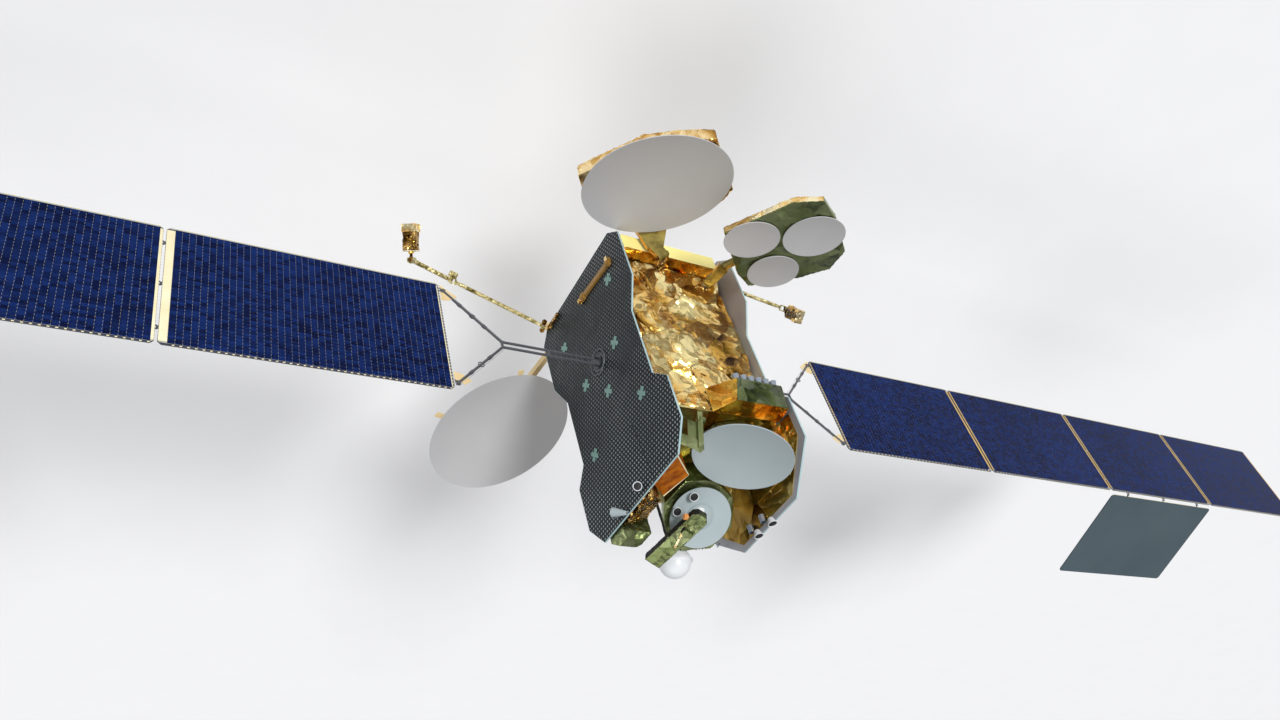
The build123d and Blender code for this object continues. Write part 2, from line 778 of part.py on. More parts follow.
# Yoke: two tubes to the branch, then two arms that spread to the first panel
yoke_offset = (2 * yoke_tube_radius + panel_thickness) / 4 + folded_gap / 2
with BuildPart() as yoke:
    root = above(yoke_hinge_x, 0, 0)
    barrel(root, (0, 0, 1), yoke_root_width, yoke_tube_radius)
    for side in (-1, 1):
        start = above(yoke_hinge_x, 0, side * yoke_tube_spacing / 2)
        branch = above(yoke_branch, 0, side * yoke_tube_spacing / 2)
        end = above(hinge_line - yoke_end_play - yoke_fitting / 2, 0, side * yoke_arm_spread)
        pin = above(hinge_line, -yoke_offset, side * yoke_arm_spread)
        rod(start, branch, yoke_tube_radius)
        rod(branch, end, yoke_tube_radius)
        for share in yoke_collar_stations:
            place = branch + (end - branch) * share
            along = (end - branch).normalized() * yoke_collar_length / 2
            rod(place - along, place + along, yoke_collar_radius)
        with Locations(branch):
            Sphere(yoke_node_radius)
        with Locations(end):
            Box(yoke_fitting, 2 * yoke_tube_radius, yoke_fitting)
        bar(end, pin, barrel_length, barrel_radius, (0, 0, 1))
        barrel(pin, (0, 0, 1), barrel_length, barrel_radius)
    half_spacing = Vector(0, 0, yoke_tube_spacing / 2)
    for x in (yoke_branch, (yoke_hinge_x + yoke_branch) / 2):
        rod(above(x, 0, 0) - half_spacing, above(x, 0, 0) + half_spacing, yoke_tube_radius)
    barrel_bore(root, (0, 0, 1), yoke_root_width, yoke_pin)
    for side in (-1, 1):
        pin = above(hinge_line, -yoke_offset, side * yoke_arm_spread)
        barrel_bore(pin, (0, 0, 1), barrel_length, pin_radius)


def panel_sketch(x_start, length, low, width):
    """Draws a panel outline with clipped corners in the wing's plane."""
    with Locations((x_start + length / 2, low + width / 2)):
        Rectangle(length, width)
    chamfer(vertices(), panel_chamfer)


# Hinge lines of the wing: each pin stands off the wing's mid plane so that the panels fold flat
hinge_size = (barrel_length, barrel_radius, ear_thickness, pin_radius)
plain_offset = (panel_thickness + folded_gap) / 2
wide_offset = (panel_thickness + lateral_gap) / 2
wing_hinges = [
    # x, pin's y, stations along Z
    (hinge_line, -yoke_offset, (-yoke_arm_spread, yoke_arm_spread)),
    (hinge_line + panel_pitch, plain_offset, hinge_stations),
    (hinge_line + 2 * panel_pitch, -plain_offset, hinge_stations),
    (hinge_line + 3 * panel_pitch, wide_offset, hinge_stations),
]
wing = []
for index in range(panel_count):
    start = first_panel_start + index * panel_pitch
    with BuildPart() as panel:
        with BuildSketch(Plane.XZ.offset(-panel_thickness / 2)):
            panel_sketch(start, panel_length, wing_axis_height - panel_width / 2, panel_width)
        extrude(amount=panel_thickness)
        x, y, stations = wing_hinges[index]
        leg = Vector(start - x + hinge_root, -y, 0)
        for z in stations:
            ears(above(x, y, z), (0, 0, 1), leg, leg.length, *hinge_size)
        if index + 1 < panel_count:
            x, y, stations = wing_hinges[index + 1]
            for z in stations:
                root = above(start + panel_length - hinge_root, 0, z)
                bar(above(x, y, z), root, barrel_length, 2 * barrel_radius, (0, 0, 1))
                barrel(above(x, y, z), (0, 0, 1), barrel_length, barrel_radius)
            for z in stations:
                barrel_bore(above(x, y, z), (0, 0, 1), barrel_length, pin_radius)
        if index == lateral_on:
            for share in lateral_stations:
                x = start + panel_length * share
                point = above(x, plain_offset, panel_width / 2 + lateral_hinge_out)
                leg = Vector(0, -plain_offset, -lateral_hinge_out - hinge_root)
                ears(point, (1, 0, 0), leg, leg.length, *hinge_size)
    wing.append((panel, f"panel_{index + 1}"))

lateral_start = first_panel_start + lateral_on * panel_pitch
swing = radians(lateral_swing)
with BuildPart() as lateral_panel:
    hinge = above(0, plain_offset, panel_width / 2 + lateral_hinge_out)
    board = Plane(origin=hinge, x_dir=(1, 0, 0), z_dir=(0, -cos(swing), sin(swing)))
    with BuildSketch(board.offset(plain_offset - panel_thickness / 2)):
        lateral_length = panel_length - 2 * lateral_end_gap
        panel_sketch(lateral_start + lateral_end_gap, lateral_length, lateral_hinge_out, lateral_width)
    extrude(amount=panel_thickness)
    for share in lateral_stations:
        point = Vector(lateral_start + panel_length * share, hinge.Y, hinge.Z)
        foot = point + board.y_dir * (lateral_hinge_out + hinge_root) + board.z_dir * plain_offset
        bar(point, foot, barrel_length, 2 * barrel_radius, (1, 0, 0))
        barrel(point, (1, 0, 0), barrel_length, barrel_radius)
    for share in lateral_stations:
        point = Vector(lateral_start + panel_length * share, hinge.Y, hinge.Z)
        barrel_bore(point, (1, 0, 0), barrel_length, pin_radius)

wing_pieces = [(drive_ring, "drive_ring"), (drive_hub, "drive_hub"), (yoke, "yoke")]
wing_pieces += wing + [(lateral_panel, "lateral_panel")]
for piece, name in wing_pieces:
    save(piece.part, f"{name}_plus_x")
    with BuildPart() as mirrored:
        add(piece.part)
        mirror(about=Plane.YZ, mode=Mode.REPLACE)
    save(mirrored.part, f"{name}_minus_x")

# Deployable reflectors: bowl, foil-covered tray behind it, arm and hinge bracket
for name, side, hinge, axis, elbow, centre, normal, widths in reflectors:
    tray_back = tray_backs[name]
    root_width, knee_width, tip_width = widths
    axis = Vector(*axis).normalized()
    normal = Vector(*normal).normalized()
    root, bend, middle = (above(x, beside(side, beyond), z) for x, beyond, z in (hinge, elbow, centre))
    rim = Plane(origin=middle, x_dir=Vector(0, 1, 0).cross(normal), z_dir=normal)
    spots = [(middle + rim.x_dir * u + rim.y_dir * v, size) for u, v, size in bowls_on[name]]
    with BuildPart() as bowls:
        for spot, size in spots:
            dish(Plane(origin=spot, x_dir=rim.x_dir, z_dir=normal), size, size * bowl_depth, reflector_shell)
    save(bowls.part, f"{name}_reflector")

    with BuildPart() as tray:
        with BuildSketch(rim.offset(-tray_front)):
            Polygon(*tray_corners[name], align=None)
        extrude(amount=-(tray_back - tray_front))
        for spot, size in spots:
            curve = bowl_curve(size, size * bowl_depth)
            with Locations(spot + normal * (curve - size * bowl_depth)):
                Sphere(curve + reflector_shell + reflector_play, mode=Mode.SUBTRACT)
    save(tray.part, f"{name}_tray")

    tray_face = Plane(origin=middle - normal * tray_back, x_dir=rim.x_dir, z_dir=normal)
    with BuildPart() as arm:
        grip = tray_face.origin - normal * (arm_depth / 2 + arm_drop)
        lead = bend - root
        lead = (lead - axis * lead.dot(axis)).normalized()
        knee = root + lead * arm_knee
        bar(root, knee + lead * arm_depth / 2, root_width, arm_depth, axis)
        flared_bar(knee, bend, (knee_width, tip_width), arm_depth, axis)
        bar(bend, grip, tip_width / 2, arm_depth, normal.cross(grip - bend))
        with Locations(bend):
            Sphere(arm_depth / 2)
        with BuildSketch(tray_face):
            Rectangle(*arm_grip)
        extrude(amount=-(arm_depth / 2 + arm_drop))
        barrel(root, axis, root_width, arm_depth / 2)
        barrel_bore(root, axis, root_width, reflector_pin)
    save(arm.part, f"{name}_arm")

    outward = Vector(0, side, 0)
    leg = (outward - axis * outward.dot(axis)).normalized() * -1
    with BuildPart() as bracket:
        fork(root, axis, leg, bracket_reach, root_width, arm_depth / 2, bracket_ear, reflector_pin)
        seat = root + leg * ((beside(side, 0) - root.Y) / leg.Y + arm_depth)
        bar(root + leg * (bracket_reach - bracket_ear), seat, root_width, arm_depth, axis)
        split(bisect_by=Plane(origin=(0, beside(side, 0), 0), z_dir=outward), keep=Keep.TOP)
    save(bracket.part, f"{name}_bracket")

# Thruster booms: base, upper arm, forearm and a pod with two thrusters
for name, side, *points in booms:
    root, elbow, wrist, tip = (
        Vector(side * (platform_half_width + x), platform_half_depth + y, platform_bottom + z)
        for x, y, z in points
    )
    upward, onward, outward = (
        (end - start).normalized() for start, end in ((root, elbow), (elbow, wrist), (wrist, tip))
    )
    root_axis = upward.cross(Vector(0, 0, 1)).normalized()
    elbow_axis = upward.cross(onward).normalized()
    wrist_axis = onward.cross(outward).normalized()
    joint_size = (2 * boom_radius, boom_radius, boom_ear, boom_pin)

    with BuildPart() as base:
        pad_x = side * (platform_half_width - boom_pad / 2)
        with Locations((pad_x, root.Y, platform_bottom - boom_drop / 2)):
            Box(boom_pad, boom_base_width, boom_drop)
        reach = abs(root.X) - (platform_half_width - boom_pad) - boom_reach
        plate_x = side * (platform_half_width - boom_pad + reach / 2)
        with Locations((plate_x, root.Y, root.Z)):
            Box(reach, boom_base_width, boom_plate)
        leg = Vector(-side, 0, 0)
        leg = leg - root_axis * leg.dot(root_axis)
        fork(root, root_axis, leg, boom_reach + boom_ear, *joint_size)
    save(base.part, f"boom_base_{name}")

    with BuildPart() as upper_arm:
        rod(root, elbow - upward * (boom_reach - boom_ear), boom_tube_radius)
        barrel(root, root_axis, 2 * boom_radius, boom_radius)
        fork(elbow, elbow_axis, upward * -1, boom_reach, *joint_size)
        barrel_bore(root, root_axis, 2 * boom_radius, boom_pin)
    save(upper_arm.part, f"boom_upper_arm_{name}")

    with BuildPart() as forearm:
        rod(elbow, wrist - onward * (boom_reach - boom_ear), boom_tube_radius)
        barrel(elbow, elbow_axis, 2 * boom_radius, boom_radius)
        fork(wrist, wrist_axis, onward * -1, boom_reach, *joint_size)
        barrel_bore(elbow, elbow_axis, 2 * boom_radius, boom_pin)
    save(forearm.part, f"boom_forearm_{name}")

    with BuildPart() as pod:
        neck = wrist + outward * pod_neck
        rod(wrist, neck, boom_tube_radius)
        barrel(wrist, wrist_axis, 2 * boom_radius, boom_radius)
        with BuildSketch(rolled(neck, tip - neck, wrist_axis)) as section:
            Rectangle(pod_width, pod_depth)
            chamfer(section.vertices(), pod_chamfer)
        extrude(section.sketch, amount=(tip - neck).length)
        barrel_bore(wrist, wrist_axis, 2 * boom_radius, boom_pin)
        firing = wrist_axis.cross(outward)
        for share in thruster_stations:
            seat = neck + (tip - neck) * share + firing * pod_depth / 2
            rod(seat, seat + firing * thruster_length, thruster_radius)
            with BuildSketch(Plane(origin=seat + firing * thruster_length, z_dir=firing)) as channel:
                Circle(thruster_channel[0])
                Circle(thruster_channel[1], mode=Mode.SUBTRACT)
            extrude(channel.sketch, amount=-thruster_length / 2, mode=Mode.SUBTRACT)
    save(pod.part, f"thruster_pod_{name}")
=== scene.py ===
"""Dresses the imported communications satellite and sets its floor, light and camera. Metres.

The frame's origin is the centre of the launch adapter ring's lower face, X runs along the
solar wings, -Y is the foil-covered side and +Z points to the Earth deck.
"""

import json
import logging
import math
from dataclasses import dataclass
from enum import Enum
from typing import Callable, Optional, Sequence

import bpy
from bpy.types import Material, NodeSocket, Object
from mathutils import Matrix, Vector

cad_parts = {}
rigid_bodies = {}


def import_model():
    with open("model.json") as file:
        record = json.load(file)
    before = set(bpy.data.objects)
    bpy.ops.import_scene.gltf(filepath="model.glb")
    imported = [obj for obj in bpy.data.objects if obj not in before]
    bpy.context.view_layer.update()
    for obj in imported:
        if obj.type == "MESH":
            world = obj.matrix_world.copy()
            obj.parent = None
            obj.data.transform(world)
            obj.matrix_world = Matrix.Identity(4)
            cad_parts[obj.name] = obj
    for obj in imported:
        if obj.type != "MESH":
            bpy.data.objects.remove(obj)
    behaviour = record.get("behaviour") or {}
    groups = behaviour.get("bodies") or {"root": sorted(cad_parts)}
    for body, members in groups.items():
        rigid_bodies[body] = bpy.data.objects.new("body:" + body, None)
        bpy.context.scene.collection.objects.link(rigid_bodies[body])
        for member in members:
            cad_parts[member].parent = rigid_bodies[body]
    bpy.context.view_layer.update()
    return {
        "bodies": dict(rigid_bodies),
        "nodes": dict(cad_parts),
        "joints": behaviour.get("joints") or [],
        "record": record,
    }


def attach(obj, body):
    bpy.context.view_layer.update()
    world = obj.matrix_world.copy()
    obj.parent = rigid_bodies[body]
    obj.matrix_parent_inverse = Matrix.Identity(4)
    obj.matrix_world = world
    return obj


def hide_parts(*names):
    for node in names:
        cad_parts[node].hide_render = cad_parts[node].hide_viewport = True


log = logging.getLogger("satellite")

Colour = tuple[float, float, float]
Place = tuple[float, float, float]

MAIN_BODY = "spacecraft_body"
WING_AXIS_HEIGHT = 2.15
CELL_COLUMN = 0.0901
CELL_ROW = 0.0615
FOIL_LAYERS = (
    # name, texture, shares of the crease's size and of the swell, middle level
    ("folds", "VORONOI", 1.0, 0.7, 0.4),
    ("waves", "CLOUDS", 1.7, 0.8, 0.5),
    ("wrinkles", "VORONOI", 0.4, 0.3, 0.4),
)


class Side(Enum):
    """The two sides that the wings, radiators and booms stand on."""

    PLUS_X = ("plus_x", 1)
    MINUS_X = ("minus_x", -1)

    @property
    def label(self) -> str:
        """Returns the ending of the side's node names."""
        return self.value[0]

    @property
    def sign(self) -> int:
        """Returns the direction of the side along X."""
        return self.value[1]


class Slot(Enum):
    """The record's material slots."""

    CELLS = "solar_cells"
    TILES = "radiator_tiles"
    WHITE = "dish_white"
    CARBON = "carbon_tube"
    DRIVE = "drive_metal"
    ALUMINIUM = "bare_aluminium"
    HORN = "horn_metal"
    OLIVE = "foil_olive"
    GOLD = "foil_gold"


def with_alpha(colour: Colour) -> tuple[float, float, float, float]:
    """Returns a colour with full alpha."""
    return (*colour, 1.0)


def scaled(colour: Colour, share: float) -> Colour:
    """Returns a colour with its brightness multiplied."""
    return tuple(part * share for part in colour)


def operator(operation: str) -> Callable[..., "Value"]:
    """Returns a method that adds one Math node for a value and its operand, if it takes one."""

    def method(value: "Value", *operands: object) -> "Value":
        return value.math(operation, value, *operands)

    return method


class Value:
    """A shader socket that takes part in Python arithmetic and adds its Math nodes."""

    def __init__(self, recipe: "Recipe", socket: NodeSocket) -> None:
        """Wraps a socket of a recipe's node tree."""
        self.recipe = recipe
        self.socket = socket

    def math(self, operation: str, *operands: object) -> "Value":
        """Adds one Math node.

        Args:
            operation: The Math node's operation.
            operands: Its inputs in order, values or sockets.

        Returns:
            The node's result.
        """
        inputs = dict(enumerate(operands))
        return self.recipe.node("ShaderNodeMath", {"operation": operation}, inputs)

    def __rsub__(self, other: object) -> "Value":
        """Returns the reflected difference."""
        return self.math("SUBTRACT", other, self)

    __add__ = __radd__ = operator("ADD")
    __sub__ = operator("SUBTRACT")
    __mul__ = __rmul__ = operator("MULTIPLY")
    __truediv__ = operator("DIVIDE")
    __lt__ = operator("LESS_THAN")
    __gt__ = operator("GREATER_THAN")
    __abs__ = operator("ABSOLUTE")
    whole = operator("FLOOR")
    part = operator("FRACT")

    def clipped(self) -> "Value":
        """Returns the value held between 0 and 1."""
        return self.math("MINIMUM", self.math("MAXIMUM", self, 0.0), 1.0)


class Recipe:
    """One procedural material: its node tree, its coordinates and its shader."""

    def __init__(self, name: str, roughness: float = 0.5, metallic: float = 0.0) -> None:
        """Makes an empty material with a Principled shader."""
        self.material = bpy.data.materials.new(name)
        self.material.use_nodes = True
        self.tree = self.material.node_tree
        self.tree.nodes.clear()
        self.output = self.tree.nodes.new("ShaderNodeOutputMaterial")
        self.shader = self.tree.nodes.new("ShaderNodeBsdfPrincipled")
        self.tree.links.new(self.shader.outputs[0], self.output.inputs[0])
        self.shader.inputs["Roughness"].default_value = roughness
        self.shader.inputs["Metallic"].default_value = metallic
        self.place = self.node("ShaderNodeTexCoord", output="Object")

    def node(
        self,
        kind: str,
        settings: Optional[dict[str, object]] = None,
        inputs: Optional[dict[object, object]] = None,
        output: object = 0,
    ) -> Value:
        """Adds a node.

        Args:
            kind: The node's type.
            settings: Its properties, set first; stops gives a ramp's positions and colours.
            inputs: Values or sockets by input name or index.
            output: The name or index of the output to return.

        Returns:
            The chosen output.
        """
        node = self.tree.nodes.new(kind)
        for key, setting in (settings or {}).items():
            if key == "stops":
                while len(node.color_ramp.elements) < len(setting):
                    node.color_ramp.elements.new(1.0)
                for element, (position, colour) in zip(node.color_ramp.elements, setting):
                    element.position = position
                    element.color = with_alpha(colour)
            else:
                setattr(node, key, setting)
        for key, value in (inputs or {}).items():
            self.feed(node.inputs[key], value)
        return Value(self, node.outputs[output])

    def feed(self, socket: NodeSocket, value: object) -> None:
        """Links a socket to a value of this recipe, or sets it to a constant."""
        if isinstance(value, Value):
            self.tree.links.new(value.socket, socket)
        else:
            socket.default_value = value

    def axes(self, vector: Optional[Value] = None) -> tuple[Value, Value, Value]:
        """Returns the three parts of a vector, by default of the place on the piece."""
        split = self.tree.nodes.new("ShaderNodeSeparateXYZ")
        self.feed(split.inputs[0], vector or self.place)
        return tuple(Value(self, socket) for socket in split.outputs)

    def vector(self, x: object, y: object, z: object) -> Value:
        """Returns a vector of three values."""
        return self.node("ShaderNodeCombineXYZ", None, {0: x, 1: y, 2: z})

    def noise(self, scale: float, detail: float = 3.0, place: Optional[Value] = None) -> Value:
        """Returns smooth noise, from about 0.3 to 0.7."""
        inputs = {"Vector": place or self.place, "Scale": scale, "Detail": detail}
        return self.node("ShaderNodeTexNoise", None, inputs)

    def mix(self, share: object, first: object, second: object) -> Value:
        """Returns a colour between two colours."""
        colours = [with_alpha(c) if isinstance(c, tuple) else c for c in (first, second)]
        inputs = {0: share, 6: colours[0], 7: colours[1]}
        return self.node("ShaderNodeMix", {"data_type": "RGBA"}, inputs, 2)

    def shaded(self, share: object, colour: Colour, depth: float) -> Value:
        """Returns a colour that is darkened to its depth where the share is 0."""
        return self.mix(share, scaled(colour, depth), colour)

    def vector_math(self, operation: str, first: object, second: object, output: int = 0) -> Value:
        """Returns what one Vector Math node makes of two vectors."""
        inputs = {0: first, 1: second}
        return self.node("ShaderNodeVectorMath", {"operation": operation}, inputs, output)

    def ramp(self, share: Value, *stops: tuple[float, Colour]) -> Value:
        """Returns the colour at a place along a ramp."""
        return self.node("ShaderNodeValToRGB", {"stops": stops}, {0: share})

    def bump(self, height: Value, distance: float, strength: float = 1.0) -> None:
        """Shades the surface as if raised by height times distance."""
        inputs = {"Height": height, "Distance": distance, "Strength": strength}
        self.feed(self.shader.inputs["Normal"], self.node("ShaderNodeBump", None, inputs))

    def set(self, **inputs: object) -> None:
        """Sets the shader's sockets, named in lower case with underscores."""
        for name, value in inputs.items():
            key = name.replace("_", " ").title().replace("Ior", "IOR")
            if isinstance(value, tuple):
                value = with_alpha(value)
            self.feed(self.shader.inputs[key], value)


@dataclass(frozen=True)
class CrinkledFoil:
    """Multi-layer insulation: thin foil that lies in creases and facets.

    Its colour is painted shade and light: from a painted shade in the folds to a painted glint, each facet
    painted lighter where it stands higher.
    """

    name: str
    # The first colour is painted shade in the folds and the last a painted glint on the facets.
    deep: Colour
    middle: Colour
    glint: Colour
    fold: float = 0.12
    tilt: float = 0.5
    roughness: float = 0.26

    def make(self) -> Material:
        """Returns the foil's material."""
        recipe = Recipe(self.name, self.roughness, 1.0)
        scale = 1.0 / self.fold
        field = {"Vector": recipe.place, "Scale": scale * 0.6, "Detail": 0.0}
        wander = recipe.node("ShaderNodeTexNoise", None, field, "Color")
        reach = {0: wander, "Scale": self.fold * 1.2}
        shift = recipe.node("ShaderNodeVectorMath", {"operation": "SCALE"}, reach)
        warped = recipe.vector_math("ADD", recipe.place, shift)
        coarse, coarse_tone = self.facets(recipe, warped, scale)
        fine, _ = self.facets(recipe, warped, scale * 2.6)
        drift = recipe.noise(scale / 2.5, 1.0)
        # Partly painted shade and light: the facets' heights make each facet lighter where it stands higher,
        # and the ramp runs from painted shade to painted glint; the rest is a random tone per facet and a
        # broad drift.
        tone = coarse_tone * 0.22 + coarse * 0.7 + fine * 0.25 + drift * 1.5 - 0.36
        colour = recipe.ramp(tone.clipped(), (0.0, self.deep), (0.35, self.middle), (0.7, self.glint))
        recipe.set(base_color=colour, roughness=(self.roughness + 0.2 * (drift - 0.5)).clipped())
        recipe.bump(coarse + fine * 0.2, self.fold * self.tilt)
        return recipe.material

    @staticmethod
    def facets(recipe: Recipe, place: Value, scale: float) -> tuple[Value, Value]:
        """Lays flat facets, each tilted its own way.

        Args:
            recipe: The material that is being made.
            place: Where on the piece.
            scale: Facets per metre.

        Returns:
            The height of the facets, and one random number for each of them.
        """
        cell = recipe.node("ShaderNodeTexVoronoi", None, {"Vector": place, "Scale": scale}, "Color")
        centre = Value(recipe, cell.socket.node.outputs["Position"])
        reach = recipe.vector_math("SUBTRACT", place, centre)
        tilt = recipe.vector_math("SUBTRACT", cell, (0.5, 0.5, 0.5))
        slope = recipe.vector_math("DOT_PRODUCT", tilt, reach, 1)
        tone, _, _ = recipe.axes(cell)
        return slope * scale, tone


@dataclass(frozen=True)
class SolarCells:
    """Blue cells under cover glass, each a little lighter or darker than the next."""

    name: str
    dark: Colour
    light: Colour
    column: float
    row: float
    glass: float = 1.08

    def make(self) -> Material:
        """Returns the cells' material."""
        recipe = Recipe(self.name, 0.3, 0.15)
        x, _, z = recipe.axes()
        number = recipe.vector((x / self.column).whole(), 0.0, (z / self.row).whole())
        chance = recipe.node("ShaderNodeTexWhiteNoise", None, {"Vector": number})
        drift = recipe.noise(0.5, 1.0)
        edge = abs((z / self.row).part() - 0.5) > 0.4
        tone = (chance * 0.9 + drift * 0.5 + edge * 0.12 - 0.28).clipped()
        recipe.set(base_color=recipe.mix(tone, self.dark, self.light), coat_weight=0.04)
        recipe.set(roughness=0.3 + chance * 0.15, ior=self.glass, coat_roughness=0.12)
        return recipe.material


@dataclass(frozen=True)
class PanelBoard:
    """The board under the cells: dashed interconnects on the front, dark weave on the back."""

    name: str
    row: float
    front: float = -0.0118

    def make(self) -> Material:
        """Returns the board's material."""
        recipe = Recipe(self.name, 0.5)
        x, y, z = recipe.axes()
        dashed = ((z - WING_AXIS_HEIGHT) / self.row).part() < 0.55
        on_front = y < self.front
        weave = recipe.noise(90.0, 1.0, recipe.vector(x, y * 4.0, z * 6.0))
        back = recipe.mix(weave, (0.03, 0.032, 0.036), (0.1, 0.105, 0.115))
        lines = recipe.mix(dashed, (0.003, 0.008, 0.04), (0.36, 0.36, 0.3))
        recipe.set(base_color=recipe.mix(on_front, back, lines))
        recipe.bump(weave, 0.001)
        return recipe.material


@dataclass(frozen=True)
class MirrorTiles:
    """Optical solar reflector tiles on the radiator's outer face, foil grey on the inner one."""

    name: str
    outer_face: float
    tile: float = 0.068
    plate: Colour = (0.008, 0.011, 0.013)
    inner_foil: Colour = (0.44, 0.44, 0.48)
    fold_start: tuple[float, float] = (-0.343, 3.75)
    fold_lean: float = -0.122
    glass: float = 1.2

    def make(self) -> Material:
        """Returns the radiator's material."""
        recipe = Recipe(self.name, 0.3, 0.2)
        x, y, z = recipe.axes()
        across, along = y / self.tile, z / self.tile
        staggered = across + (along.whole() / 2.0).part()
        centre = abs(staggered.part() - 0.5) + abs(along.part() - 0.5)
        joint = along.part().math("MINIMUM", along.part(), staggered.part()) < 0.08
        number = recipe.vector(staggered.whole(), along.whole(), 0.0)
        chance = recipe.node("ShaderNodeTexWhiteNoise", None, {"Vector": number})
        broad = recipe.noise(1.1, 2.0)
        outside = abs(x) > self.outer_face
        # Each outer tile's pale spot is a painted glint; shine sets its strength from broad noise and from
        # lit, a painted sheen that grows towards the top.
        spot = (centre < 0.3) * outside
        plate = recipe.mix(chance, self.plate, scaled(self.plate, 1.6))
        lit = ((z - 2.6) / 3.0).clipped() * 0.5
        shine = (broad * 3.0 - 0.95).clipped() * 0.35 + lit + 0.12
        dotted = recipe.mix(spot * shine, plate, (0.42, 0.47, 0.47))
        tiled = recipe.mix(joint, dotted, (0.012, 0.014, 0.016))
        # A thin dark line, 16 mm wide, runs up the outer tiles from its start and leans as it rises.
        above = z - self.fold_start[1]
        fold = (abs(y - self.fold_start[0] - above * self.fold_lean) < 0.008) * (above > 0.0)
        outer = recipe.mix(fold, tiled, (0.004, 0.005, 0.006))
        inner = recipe.shaded(broad, self.inner_foil, 0.82)
        recipe.set(base_color=recipe.mix(outside, inner, outer))
        recipe.set(roughness=0.34 + (chance - 0.5) * outside * 0.2, ior=self.glass)
        recipe.bump((chance + spot * 0.5) * outside, 0.001)
        return recipe.material


@dataclass(frozen=True)
class Coat:
    """A paint, moulding or metal whose tone and gloss vary a little over the surface."""

    name: str
    colour: Colour
    shade: Colour
    roughness: float = 0.5
    metallic: float = 0.0
    grain: float = 8.0
    relief: float = 0.0004
    coat: float = 0.0
    glass: float = 1.45

    def make(self) -> Material:
        """Returns the coat's material."""
        recipe = Recipe(self.name, self.roughness, self.metallic)
        broad = recipe.noise(self.grain / 5, 3.0)
        fine = recipe.noise(self.grain * 6, 2.0)
        share = (broad * 1.6 - 0.55 + (fine - 0.5) * 0.5).clipped()
        recipe.set(base_color=recipe.mix(share, self.shade, self.colour))
        roughness = (self.roughness + (fine - 0.5) * 0.16).clipped()
        recipe.set(roughness=roughness, coat_weight=self.coat, ior=self.glass)
        recipe.bump(fine, self.relief)
        return recipe.material


@dataclass(frozen=True)
class FittingPaint:
    """The radiator's fittings: gold hold-down bar below, green cross pads above."""

    name: str
    bar: Colour
    pad: Colour
    border: float

    def make(self) -> Material:
        """Returns the fittings' material."""
        recipe = Recipe(self.name, 0.42, 0.3)
        _, _, z = recipe.axes()
        worn = recipe.noise(40.0, 3.0)
        share = (worn * 2.0 - 0.5).clipped()
        colours = [recipe.shaded(share, colour, 0.6) for colour in (self.bar, self.pad)]
        recipe.set(base_color=recipe.mix(z > self.border, *colours))
        recipe.bump(worn, 0.002)
        return recipe.material


@dataclass(frozen=True)
class SidedPlate:
    """A plate in thin film whose one narrow side is covered with another colour."""

    name: str
    film: Colour
    side_film: Colour
    side: Place

    def make(self) -> Material:
        """Returns the plate's material."""
        recipe = Recipe(self.name, 0.34, 0.6)
        facing = recipe.node("ShaderNodeTexCoord", output="Normal")
        toward = recipe.vector_math("DOT_PRODUCT", facing, self.side, 1)
        ripple = recipe.noise(5.0, 3.0)
        share = (ripple * 3.0 - 1.0).clipped()
        colours = [recipe.shaded(share, colour, 0.45) for colour in (self.film, self.side_film)]
        recipe.set(base_color=recipe.mix(toward > 0.75, *colours))
        recipe.set(roughness=0.3 + (ripple - 0.5) * 0.3)
        recipe.bump(ripple, 0.02)
        return recipe.material


@dataclass(frozen=True)
class CarbonWeave:
    """Carbon fibre tube: a fine twill under clear resin."""

    name: str
    colour: Colour = (0.1, 0.105, 0.12)
    thread: float = 0.012

    def make(self) -> Material:
        """Returns the tube's material."""
        recipe = Recipe(self.name, 0.38)
        x, y, z = recipe.axes()
        lay = ((x + z) / self.thread).part()
        cross = ((x - z + y) / self.thread).part()
        weave = (lay > 0.5) * (cross > 0.5)
        recipe.set(base_color=recipe.shaded(weave, self.colour, 0.45), coat_weight=0.3)
        recipe.bump(weave, 0.0006)
        return recipe.material


